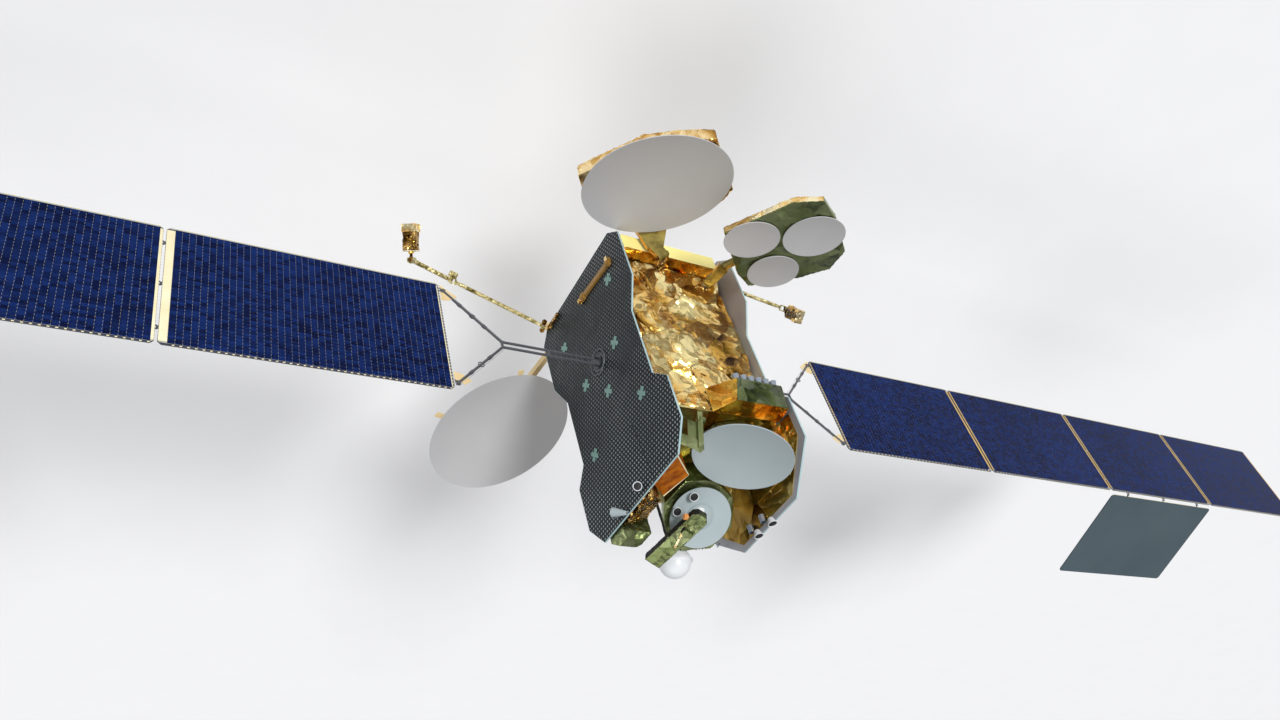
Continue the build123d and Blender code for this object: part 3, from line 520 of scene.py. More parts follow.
class Finish(Enum):
    """Every finish on the satellite."""

    # Each crinkled foil's colours run from painted shade in the folds to a painted glint.
    BODY_FOIL = CrinkledFoil(
        "body foil", (0.1, 0.035, 0.003), (0.84, 0.48, 0.1), (1.0, 0.84, 0.4), 0.32, 1.1, 0.24
    )
    # The beam film's pale yellow is the front face's film with painted light: it is kept brighter than the
    # gold foil of the platform's other faces, as the face that meets the key lamp.
    BEAM_FOIL = Coat("platform beam film", (1.0, 0.93, 0.36), (0.92, 0.8, 0.26), 0.4, 0.1, 3.0, 0.006)
    GOLD_FOIL = CrinkledFoil("gold foil", (0.26, 0.11, 0.016), (0.72, 0.43, 0.12), (1.0, 0.78, 0.42), 0.14)
    ORANGE_FOIL = CrinkledFoil(
        "orange foil", (0.3, 0.08, 0.004), (0.84, 0.34, 0.026), (1.0, 0.6, 0.1), 0.24, 0.5
    )
    OLIVE_FOIL = CrinkledFoil(
        "olive foil", (0.12, 0.145, 0.055), (0.2, 0.24, 0.1), (0.31, 0.35, 0.17), 0.34, 0.25, 0.36
    )
    ORANGE_FILM = CrinkledFoil(
        "orange film", (0.4, 0.1, 0.004), (0.86, 0.3, 0.018), (1.0, 0.62, 0.14), 0.42, 0.24, 0.22
    )
    # The tower foil is the olive foil darkened: painted shade for the tower's front, which faces the key
    # lamp.
    TOWER_FOIL = CrinkledFoil(
        "tower foil", (0.03, 0.042, 0.012), (0.085, 0.112, 0.038), (0.17, 0.21, 0.085), 0.24, 0.6, 0.34
    )
    DECK_FOIL = CrinkledFoil(
        "deck foil", (0.16, 0.075, 0.01), (0.52, 0.33, 0.07), (0.85, 0.7, 0.28), 0.5, 0.4, 0.26
    )
    DARK_FOIL = CrinkledFoil(
        "dark gold foil", (0.05, 0.02, 0.003), (0.26, 0.13, 0.02), (0.75, 0.48, 0.16), 0.08, 1.5, 0.2
    )
    BOOM_WRAP = CrinkledFoil(
        "boom wrap", (0.16, 0.12, 0.03), (0.46, 0.38, 0.14), (0.86, 0.76, 0.42), 0.05, 0.5, 0.32
    )
    ARM_FILM = SidedPlate("arm film", (0.46, 0.36, 0.09), (1.0, 0.5, 0.08), (0.88, 0.47, -0.07))
    EDGE_FOIL = CrinkledFoil(
        "bright edge foil", (0.6, 0.34, 0.08), (0.95, 0.64, 0.24), (1.0, 0.88, 0.55), 0.14, 0.3
    )
    FITTINGS = FittingPaint("radiator fittings", (0.36, 0.19, 0.035), (0.2, 0.36, 0.31), 0.9)
    CELLS = SolarCells("solar cells", (0.001, 0.004, 0.03), (0.005, 0.021, 0.115), CELL_COLUMN, CELL_ROW)
    BOARD = PanelBoard("panel board", CELL_ROW)
    LATERAL = Coat(
        "lateral panel face", (0.078, 0.105, 0.12), (0.06, 0.084, 0.098), 0.4, 0.0, 3.0, 0.0004, 0.0, 1.12
    )
    TILES = MirrorTiles("radiator mirror tiles", 1.15)
    RADIATOR_EDGE = Coat("radiator edge tape", (0.5, 0.66, 0.68), (0.4, 0.56, 0.58), 0.35, 0.3)
    SKIN = Coat("reflector skin", (0.47, 0.47, 0.48), (0.43, 0.43, 0.44), 0.5, 0.0, 4.0)
    DISH = Coat("deck dish skin", (0.38, 0.44, 0.45), (0.33, 0.39, 0.41), 0.35, 0.0, 6.0)
    WHITE = Coat("white paint", (0.74, 0.76, 0.78), (0.66, 0.68, 0.7), 0.35, 0.0, 9.0)
    CARBON = CarbonWeave("carbon tube")
    DRIVE = Coat("drive metal", (0.09, 0.1, 0.11), (0.05, 0.055, 0.06), 0.38, 0.5)
    GUARD = Coat("cable guard", (0.16, 0.18, 0.2), (0.09, 0.1, 0.11), 0.35, 0.4)
    ALUMINIUM = Coat("bare aluminium", (0.72, 0.72, 0.74), (0.6, 0.6, 0.62), 0.32, 0.9, 14.0)
    ENGINE = Coat("heated engine metal", (0.34, 0.31, 0.28), (0.2, 0.17, 0.15), 0.35, 0.9, 10.0)
    HORN = Coat("horn metal", (0.36, 0.41, 0.46), (0.26, 0.3, 0.35), 0.35, 0.6, 14.0)
    # Painted shade: black put where shade falls, on the tilted tray's side, on one side of each pod and
    # inside the horn mouths.
    BLACK = Coat("painted shade black", (0.015, 0.015, 0.017), (0.008, 0.008, 0.009), 0.6)
    STRIP = Coat("cream edge strip", (0.9, 0.84, 0.62), (0.78, 0.68, 0.42), 0.42, 0.1, 20.0)
    FAN = Coat("cream yoke sector", (0.86, 0.7, 0.42), (0.72, 0.54, 0.26), 0.4, 0.3, 12.0)
    AMBER_FILM = Coat("amber film", (0.8, 0.25, 0.008), (0.2, 0.04, 0.001), 0.3, 0.0, 26.0, 0.002, 0.0, 1.06)
    HINGE_GOLD = Coat("gold hinge fitting", (0.7, 0.48, 0.17), (0.5, 0.32, 0.09), 0.4, 0.3, 24.0)
    ORANGE = Coat("orange tape", (0.9, 0.45, 0.16), (0.7, 0.28, 0.07), 0.42, 0.1, 20.0)

    def material(self) -> Material:
        """Returns the finish's material, made at its first use."""
        return bpy.data.materials.get(self.value.name) or self.value.make()


class Bench:
    """Models pieces with Blender's operators, as by hand. An edge is the width of a bevel."""

    @staticmethod
    def clear() -> None:
        """Leaves edit mode and deselects everything."""
        if bpy.context.object and bpy.context.object.mode != "OBJECT":
            bpy.ops.object.mode_set(mode="OBJECT")
        bpy.ops.object.select_all(action="DESELECT")

    @staticmethod
    def select(piece: Object) -> None:
        """Makes a piece the only one that is selected."""
        Bench.clear()
        piece.select_set(True)
        bpy.context.view_layer.objects.active = piece

    @staticmethod
    def settle(piece: Object) -> Object:
        """Moves a piece's place, turn and size into its mesh."""
        Bench.select(piece)
        bpy.ops.object.transform_apply(location=True, rotation=True, scale=True)
        return piece

    @staticmethod
    def take(name: str) -> Object:
        """Names and settles the piece that an operator has just added."""
        piece = bpy.context.object
        piece.name = name
        return Bench.settle(piece)

    @staticmethod
    def apply(piece: Object) -> Object:
        """Applies all modifiers of a piece, in order."""
        Bench.select(piece)
        for modifier in list(piece.modifiers):
            bpy.ops.object.modifier_apply(modifier=modifier.name)
        return piece

    @staticmethod
    def thicken(piece: Object, wall: float, offset: float = -1.0) -> Object:
        """Gives a sheet a wall, inside it at an offset of -1 and outside it at 1."""
        shell = piece.modifiers.new("wall", "SOLIDIFY")
        shell.thickness = wall
        shell.offset = offset
        return Bench.apply(piece)

    @staticmethod
    def pick(piece: Object, kind: str, wanted: Callable[[object], bool]) -> None:
        """Selects the vertices, edges or faces of a piece that are wanted, and enters edit mode.

        Args:
            piece: The piece to edit.
            kind: VERT, EDGE or FACE.
            wanted: Takes a vertex, edge or polygon and says whether it is selected.
        """
        Bench.select(piece)
        bpy.ops.object.mode_set(mode="EDIT")
        bpy.ops.mesh.select_mode(type=kind)
        bpy.ops.mesh.select_all(action="DESELECT")
        bpy.ops.object.mode_set(mode="OBJECT")
        mesh = piece.data
        elements = {"VERT": mesh.vertices, "EDGE": mesh.edges, "FACE": mesh.polygons}[kind]
        for element in elements:
            element.select = wanted(element)
        bpy.ops.object.mode_set(mode="EDIT")

    @staticmethod
    def done(piece: Object, angle: float = 35.0) -> Object:
        """Leaves edit mode and shades the piece smooth up to an angle in degrees."""
        Bench.select(piece)
        bpy.ops.object.shade_smooth_by_angle(angle=math.radians(angle))
        return piece

    @staticmethod
    def block(name: str, low: Sequence[float], high: Sequence[float], edge: float = 0.0) -> Object:
        """Models a block between two corners, its edges beveled.

        Args:
            name: The piece's name.
            low: The lowest corner.
            high: The highest corner.
            edge: The width of the bevel.

        Returns:
            The piece.
        """
        Bench.clear()
        low, high = Vector(low), Vector(high)
        bpy.ops.mesh.primitive_cube_add(size=1.0, location=(low + high) / 2, scale=high - low)
        piece = Bench.take(name)
        if edge:
            Bench.pick(piece, "EDGE", lambda each: True)
            bpy.ops.mesh.bevel(offset=edge, segments=2)
        return Bench.done(piece)

    @staticmethod
    def rod(
        name: str, start: Vector, end: Vector, radius: float, sides: int = 20, edge: float = 0.0
    ) -> Object:
        """Models a round rod between two points, its end edges beveled."""
        Bench.clear()
        along = end - start
        bpy.ops.mesh.primitive_cylinder_add(
            vertices=sides,
            radius=radius,
            depth=along.length,
            location=(start + end) / 2,
            rotation=along.to_track_quat("Z", "Y").to_euler(),
        )
        piece = Bench.take(name)
        if edge:
            direction = along.normalized()
            Bench.pick(piece, "FACE", lambda face: abs(face.normal.dot(direction)) > 0.9)
            bpy.ops.mesh.bevel(offset=edge, segments=2)
        return Bench.done(piece)

    @staticmethod
    def repeat(piece: Object, *runs: tuple[int, Sequence[float]]) -> Object:
        """Repeats a piece by arrays, each with a count and a step, and applies them."""
        for count, step in runs:
            array = piece.modifiers.new("array", "ARRAY")
            array.count = count
            array.use_relative_offset = False
            array.use_constant_offset = True
            array.constant_offset_displace = step
        return Bench.apply(piece)

    @staticmethod
    def join(pieces: Sequence[Object], name: str) -> Object:
        """Joins pieces into one."""
        Bench.clear()
        for piece in pieces:
            piece.select_set(True)
        bpy.context.view_layer.objects.active = pieces[0]
        bpy.ops.object.join()
        joined = bpy.context.object
        joined.name = name
        return joined

    @staticmethod
    def crumple(piece: Object, weave: float, swell: float, crease: float) -> Object:
        """Turns a closed piece into a foil blanket of the same form.

        Args:
            piece: The piece to change.
            weave: The size of one facet of the blanket's mesh.
            swell: The scale of how far the foil stands out and in.
            crease: The size of one crease.

        Returns:
            The blanket.
        """
        remesh = piece.modifiers.new("remesh", "REMESH")
        remesh.mode = "VOXEL"
        remesh.voxel_size = weave
        for label, kind, size, share, middle in FOIL_LAYERS:
            texture = bpy.data.textures.new(f"{piece.name} {label}", kind)
            texture.noise_scale = crease * size
            if kind == "VORONOI":
                texture.weight_1, texture.weight_2 = -1.0, 1.0
            else:
                texture.noise_depth = 2
            displace = piece.modifiers.new(texture.name, "DISPLACE")
            displace.texture = texture
            displace.strength = swell * share
            displace.mid_level = middle
        return Bench.done(Bench.apply(piece), 30.0)

    @staticmethod
    def trim(piece: Object, point: Sequence[float], outward: Sequence[float]) -> None:
        """Cuts off what lies beyond a plane, and closes the cut."""
        Bench.pick(piece, "VERT", lambda each: True)
        bpy.ops.mesh.bisect(plane_co=point, plane_no=outward, use_fill=True, clear_outer=True)
        bpy.ops.object.mode_set(mode="OBJECT")

    @staticmethod
    def rods(name: str, points: Sequence[Vector], radius: float, sides: int) -> list[Object]:
        """Models the rods that join points in order."""
        return [Bench.rod(name, *ends, radius, sides) for ends in zip(points, points[1:])]

    @staticmethod
    def slab(name: str, half: tuple[float, float], low: float, high: float, edge: float) -> Object:
        """Models a block about the Z axis, with half its width and depth and both its heights."""
        return Bench.block(name, (-half[0], -half[1], low), (*half, high), edge)

    @staticmethod
    def ring(name: str, place: Matrix, radius: float, thickness: float) -> Object:
        """Models a round ring whose axis is the Z of its place."""
        Bench.clear()
        bpy.ops.mesh.primitive_torus_add(
            major_radius=radius, minor_radius=thickness, major_segments=32, minor_segments=10
        )
        return Bench.done(Bench.put(Bench.take(name), place), 60.0)

    @staticmethod
    def cup(name: str, place: Matrix, radius: float, length: float, wall: float) -> Object:
        """Models a short open tube with a floor, its mouth towards the Z of its place."""
        Bench.clear()
        bpy.ops.mesh.primitive_cylinder_add(
            vertices=28, radius=radius, depth=length, location=(0, 0, length / 2)
        )
        piece = Bench.take(name)
        Bench.pick(piece, "FACE", lambda face: face.normal.z > 0.9)
        bpy.ops.mesh.inset(thickness=wall)
        bpy.ops.mesh.extrude_region_move(TRANSFORM_OT_translate={"value": (0, 0, -0.8 * length)})
        bpy.ops.object.mode_set(mode="OBJECT")
        return Bench.done(Bench.put(piece, place))

    @staticmethod
    def horn(
        name: str, foot: Vector, mouth: Vector, small: float, large: float, wall: float
    ) -> Object:
        """Models a flared open tube from a small foot to a large mouth."""
        Bench.clear()
        along = mouth - foot
        bpy.ops.mesh.primitive_cone_add(
            vertices=32,
            radius1=small,
            radius2=large,
            depth=along.length,
            end_fill_type="NOTHING",
            location=(foot + mouth) / 2,
            rotation=along.to_track_quat("Z", "Y").to_euler(),
        )
        piece = Bench.take(name)
        return Bench.done(Bench.thicken(piece, wall))

    @staticmethod
    def copy(node: Object, name: str) -> Object:
        """Copies a CAD node's mesh into a new piece, its doubles merged."""
        Bench.clear()
        piece = bpy.data.objects.new(name, node.data.copy())
        bpy.context.scene.collection.objects.link(piece)
        Bench.pick(piece, "VERT", lambda each: True)
        bpy.ops.mesh.remove_doubles(threshold=0.0001)
        bpy.ops.object.mode_set(mode="OBJECT")
        return piece

    @staticmethod
    def put(piece: Object, place: Matrix) -> Object:
        """Moves a piece that was modelled at the origin to its place, kept in its mesh."""
        piece.matrix_world = place
        return Bench.settle(piece)


def axes_at(origin: Vector, along: Vector, across: Vector) -> Matrix:
    """Returns the place whose Z runs along one direction and whose X is nearest to another."""
    z_axis = along.normalized()
    x_axis = (across - z_axis * across.dot(z_axis)).normalized()
    turn = Matrix((x_axis, z_axis.cross(x_axis), z_axis)).transposed().to_4x4()
    return Matrix.Translation(origin) @ turn


# node, finish, slot, size of a mesh facet, how far the foil swells, size of a crease
Blanket = tuple[str, Finish, Slot, float, float, float]


@dataclass
class Assembly:
    """A group of the satellite's pieces, built on the loaded frame."""

    frame: dict

    def dress(self, finish: Finish, *nodes: str) -> None:
        """Gives CAD nodes a finish, through their objects' material slots."""
        for node in nodes:
            piece = self.frame["nodes"][node]
            for slot in piece.material_slots:
                slot.link = "OBJECT"
                slot.material = finish.material()
            if not piece.material_slots:
                piece.data.materials.append(finish.material())

    def add(self, piece: Object, finish: Finish, slot: Slot = Slot.GOLD, body: str = MAIN_BODY) -> Object:
        """Finishes a new piece: its material and its body."""
        piece.data.materials.clear()
        piece.data.materials.append(finish.material())
        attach(piece, body)
        log.info("%s rides on %s", piece.name, body)
        return piece

    @staticmethod
    def face_finishes(piece: Object, looks: dict[Finish, Sequence[Sequence[float]]]) -> None:
        """Gives each face of a piece the finish of the direction that it looks along most.

        Args:
            piece: The piece.
            looks: The directions of each finish.
        """
        materials = piece.data.materials
        directions = []
        for finish, ways in looks.items():
            if finish.material().name not in materials:
                materials.append(finish.material())
            number = materials.find(finish.material().name)
            directions += [(Vector(way).normalized(), number) for way in ways]
        for face in piece.data.polygons:
            face.material_index = max(directions, key=lambda look: face.normal.dot(look[0]))[1]

    def wrap(
        self, node: str, finish: Finish, slot: Slot,
        weave: float, swell: float, crease: float, body: str = MAIN_BODY,
    ) -> Object:
        """Replaces a foil-covered CAD node by a crinkled blanket of the same form."""
        piece = Bench.copy(self.frame["nodes"][node], f"{node}_blanket")
        Bench.crumple(piece, weave, swell, crease)
        self.add(piece, finish, slot, body)
        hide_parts(node)
        return piece


@dataclass
class Body(Assembly):
    """The equipment body, its platform, radiators, adapter ring and main engine."""

    blankets: tuple[Blanket, ...] = (
        ("equipment_body", Finish.BODY_FOIL, Slot.GOLD, 0.034, 0.11, 0.34),
        ("anti_earth_platform", Finish.BEAM_FOIL, Slot.GOLD, 0.026, 0.014, 0.2),
    )
    tape_width: float = 0.004
    lining: float = 1.134
    ring_radius: float = 0.58
    ring_height: float = 0.27
    bolts: int = 36
    bolt_radius: float = 0.012
    bolt_length: float = 0.018
    bar_ends: tuple[float, float] = (-1.03, -0.02)
    bar_height: float = 0.742
    bar_faces: tuple[float, float] = (1.168, 1.245)
    bar_wrap: float = 0.045

    def build(self) -> None:
        """Models and dresses the body."""
        body, beam = (self.wrap(*blanket) for blanket in self.blankets)
        for side in Side:
            Bench.trim(body, (side.sign * self.lining, 0, 0), (side.sign, 0, 0))
        Bench.done(body, 30.0)
        # The platform's front face gets the beam film, brighter than the other faces' gold foil: painted
        # light on the face toward the key lamp.
        looks = {
            Finish.BEAM_FOIL: [(0, -1, 0)],
            Finish.GOLD_FOIL: [(0, 1, 0), (1, 0, 0), (-1, 0, 0), (0, 0, -1)],
            Finish.ORANGE_FOIL: [(0, 0, 1)],
        }
        self.face_finishes(beam, looks)
        self.dress(Finish.ALUMINIUM, "adapter_ring")
        self.dress(Finish.ENGINE, "main_engine")
        for side in Side:
            self.dress(Finish.TILES, f"radiator_{side.label}")
            self.dress(Finish.FITTINGS, f"radiator_fittings_{side.label}")
            self.edge_tape(side)
        self.dress(Finish.DECK_FOIL, "earth_deck")
        self.ring_bolts()
        self.hold_down_ends()

    def hold_down_ends(self) -> None:
        """Models the crumpled wraps at both ends of the hold-down bars."""
        half = self.bar_wrap
        bottom, top = self.bar_height - half, self.bar_height + half
        for side in Side:
            near, far = sorted(side.sign * face for face in self.bar_faces)
            wraps = [
                Bench.block("wrap", (near, end - half, bottom), (far, end + half, top))
                for end in self.bar_ends
            ]
            wrap = Bench.join(wraps, f"hold_down_wraps_{side.label}")
            Bench.crumple(wrap, weave=0.008, swell=0.03, crease=0.05)
            self.add(wrap, Finish.GOLD_FOIL)

    def ring_bolts(self) -> None:
        """Models the bolts that hold the adapter ring to the platform."""
        bolts = []
        for index in range(self.bolts):
            angle = 2 * math.pi * index / self.bolts
            x, y = self.ring_radius * math.cos(angle), self.ring_radius * math.sin(angle)
            top = Vector((x, y, self.ring_height))
            foot = top - Vector((0, 0, self.bolt_length))
            bolts.append(Bench.rod("bolt", top, foot, self.bolt_radius, sides=6, edge=0.002))
        self.add(Bench.join(bolts, "adapter_ring_bolts"), Finish.ALUMINIUM, Slot.ALUMINIUM)

    def edge_tape(self, side: Side) -> None:
        """Models the pale tape round a radiator's edge, from the radiator's own outline."""
        node = self.frame["nodes"][f"radiator_{side.label}"]
        piece = Bench.copy(node, f"radiator_edge_tape_{side.label}")
        Bench.pick(piece, "FACE", lambda face: abs(face.normal.x) > 0.5)
        bpy.ops.mesh.delete(type="FACE")
        bpy.ops.object.mode_set(mode="OBJECT")
        Bench.thicken(piece, self.tape_width, 1.0)
        self.add(Bench.done(piece), Finish.RADIATOR_EDGE, Slot.TILES)


@dataclass
class EarthDeck(Assembly):
    """Everything that stands on the Earth deck."""

    blankets: tuple[Blanket, ...] = (
        ("feed_tower", Finish.OLIVE_FOIL, Slot.OLIVE, 0.016, 0.014, 0.16),
        ("dish_housings", Finish.OLIVE_FOIL, Slot.OLIVE, 0.018, 0.02, 0.12),
        ("tilted_tray", Finish.OLIVE_FOIL, Slot.OLIVE, 0.012, 0.016, 0.12),
        ("side_feed_unit", Finish.DARK_FOIL, Slot.GOLD, 0.014, 0.06, 0.1),
        ("side_feed_box", Finish.OLIVE_FOIL, Slot.OLIVE, 0.014, 0.025, 0.12),
    )
    seam_radius: float = 0.012
    fairing_edge: tuple[Place, ...] = (
        (1.123, -1.05, 4.79), (0.303, -0.235, 4.5), (0.503, 0.24, 4.58)
    )
    release_box: tuple[Place, ...] = ((0.31, 0.04, 5.03), (0.38, 0.11, 5.1))
    dome_place: Place = (-0.29, 0.475, 4.7)
    dome_facing: Place = (0.224, -0.533, 0.816)
    dome_size: tuple[float, float] = (0.15, 0.07)
    # The ends of the tray's bright strip, a painted highlight along a fold.
    tray_seam: tuple[Place, ...] = ((0.194, 0.73, 5.183), (0.235, 0.261, 5.084))
    horns: tuple[tuple[Place, Place, float, float], ...] = (
        # foot, mouth, radius at the foot and at the mouth
        ((-0.049, 0.209, 4.547), (-0.038, 0.182, 4.588), 0.05, 0.072),
        ((0.149, 0.472, 4.665), (0.16, 0.445, 4.706), 0.05, 0.072),
        ((1.2, -0.1, 4.74), (1.27, -0.18, 4.79), 0.045, 0.066),
        ((-1.1, 0.216, 5.1), (-1.1, 0.209, 5.204), 0.045, 0.075),
        ((-1.1, -0.162, 5.12), (-1.1, -0.169, 5.225), 0.045, 0.075),
    )
    pale_horn: tuple[Place, ...] = ((1.19, 0.34, 4.9), (1.285, 0.55, 4.75))
    pale_horn_radii: tuple[float, float] = (0.03, 0.075)
    horn_wall: float = 0.006
    throat_depths: tuple[float, float] = (0.012, 0.004)
    seam_low: tuple[float, float] = (-0.012, -0.022)
    seam_high: tuple[float, float] = (0.014, 0.022)

    def build(self) -> None:
        """Models and dresses the deck's pieces."""
        tower, _, tray, _, _ = [self.wrap(*blanket) for blanket in self.blankets]
        # The tower's front, back and -X faces take the darker tower foil: painted shade.
        looks = {
            Finish.TOWER_FOIL: [(0, -1, 0), (0, 1, 0), (-1, 0, 0)],
            Finish.ORANGE_FOIL: [(0.73, -0.67, -0.15)],
            Finish.ORANGE_FILM: [(0, 0, 1)],
        }
        self.face_finishes(tower, looks)
        covered = [(0.41, -0.16, 0.9), (-0.41, 0.16, -0.9), (-0.89, 0.15, 0.44), (0.21, 0.98, 0.08)]
        # The tray's side face toward +X is painted black: painted shadow on that face.
        self.face_finishes(tray, {Finish.OLIVE_FOIL: covered, Finish.BLACK: [(0.89, -0.15, -0.44)]})
        self.dress(Finish.AMBER_FILM, "deck_fairing_plus_x")
        self.dress(Finish.DECK_FOIL, "deck_fairing_minus_x")
        self.dress(Finish.HORN, "feed_horns", "small_antennas")
        self.dress(Finish.DISH, "deck_dish_large", "deck_dish_medium")
        self.dress(Finish.SKIN, "deck_dish_small")
        self.dress(Finish.WHITE, "ball_antenna")
        self.dress(Finish.OLIVE_FOIL, "feed_bar")
        self.seams()
        self.horn_mouths()
        self.dome()

    def dome(self) -> None:
        """Models the white dome in the middle of the medium dish."""
        Bench.clear()
        radius, height = self.dome_size
        bpy.ops.mesh.primitive_uv_sphere_add(
            segments=48, ring_count=24, radius=radius, scale=(1.0, 1.0, height / radius)
        )
        dome = Bench.take("medium_dish_dome")
        place = axes_at(Vector(self.dome_place), Vector(self.dome_facing), Vector((1, 0, 0)))
        self.add(Bench.done(Bench.put(dome, place), 60.0), Finish.WHITE, Slot.WHITE)

    def seams(self) -> None:
        """Models the seams on the fairing, a bright strip on the tilted tray that is a painted highlight of
        a fold's crest, and the tray's orange box.
        """
        edge = [Vector(place) for place in self.fairing_edge]
        rods = Bench.rods("bright_strip", edge, self.seam_radius, 10)
        self.add(Bench.join(rods, "fairing_seams"), Finish.STRIP)
        # The tray's bright crumpled strip is a painted highlight: it stands for the lit crest of a fold.
        start, end = (Vector(place) for place in self.tray_seam)
        along = end - start
        bright_strip = Bench.block("tray_seam", (*self.seam_low, 0), (*self.seam_high, along.length))
        Bench.crumple(bright_strip, weave=0.006, swell=0.02, crease=0.04)
        Bench.put(bright_strip, axes_at(start, along, Vector((0.41, -0.16, 0.9))))
        self.add(bright_strip, Finish.EDGE_FOIL, Slot.OLIVE)
        box = Bench.block("orange_release_box", *self.release_box, edge=0.006)
        self.add(box, Finish.ORANGE)

    def horn_mouths(self) -> None:
        """Models the small flared horns, and black discs in their throats that are painted shade of their
        insides.
        """
        horns, throats = [], []
        for foot, mouth, small, large in self.horns:
            foot, mouth = Vector(foot), Vector(mouth)
            along = (mouth - foot).normalized()
            horns.append(Bench.horn("horn", foot, mouth, small, large, self.horn_wall))
            rim = axes_at(mouth, along, Vector((0.1, 1, 0.2)))
            horns.append(Bench.ring("rim", rim, large, self.horn_wall * 0.8))
            # Each throat is a black disc just inside the mouth: painted shade of the horn's inside.
            deep, shallow = (mouth - along * depth for depth in self.throat_depths)
            inner = large - self.horn_wall
            throats.append(Bench.rod("throat", deep, shallow, inner, sides=28, edge=0.001))
        self.add(Bench.join(horns, "flared_horns"), Finish.WHITE, Slot.HORN)
        self.add(Bench.join(throats, "horn_throats"), Finish.BLACK, Slot.HORN)
        foot, mouth = (Vector(place) for place in self.pale_horn)
        pale = Bench.horn("pale_horn", foot, mouth, *self.pale_horn_radii, self.horn_wall)
        self.add(pale, Finish.DISH, Slot.HORN)


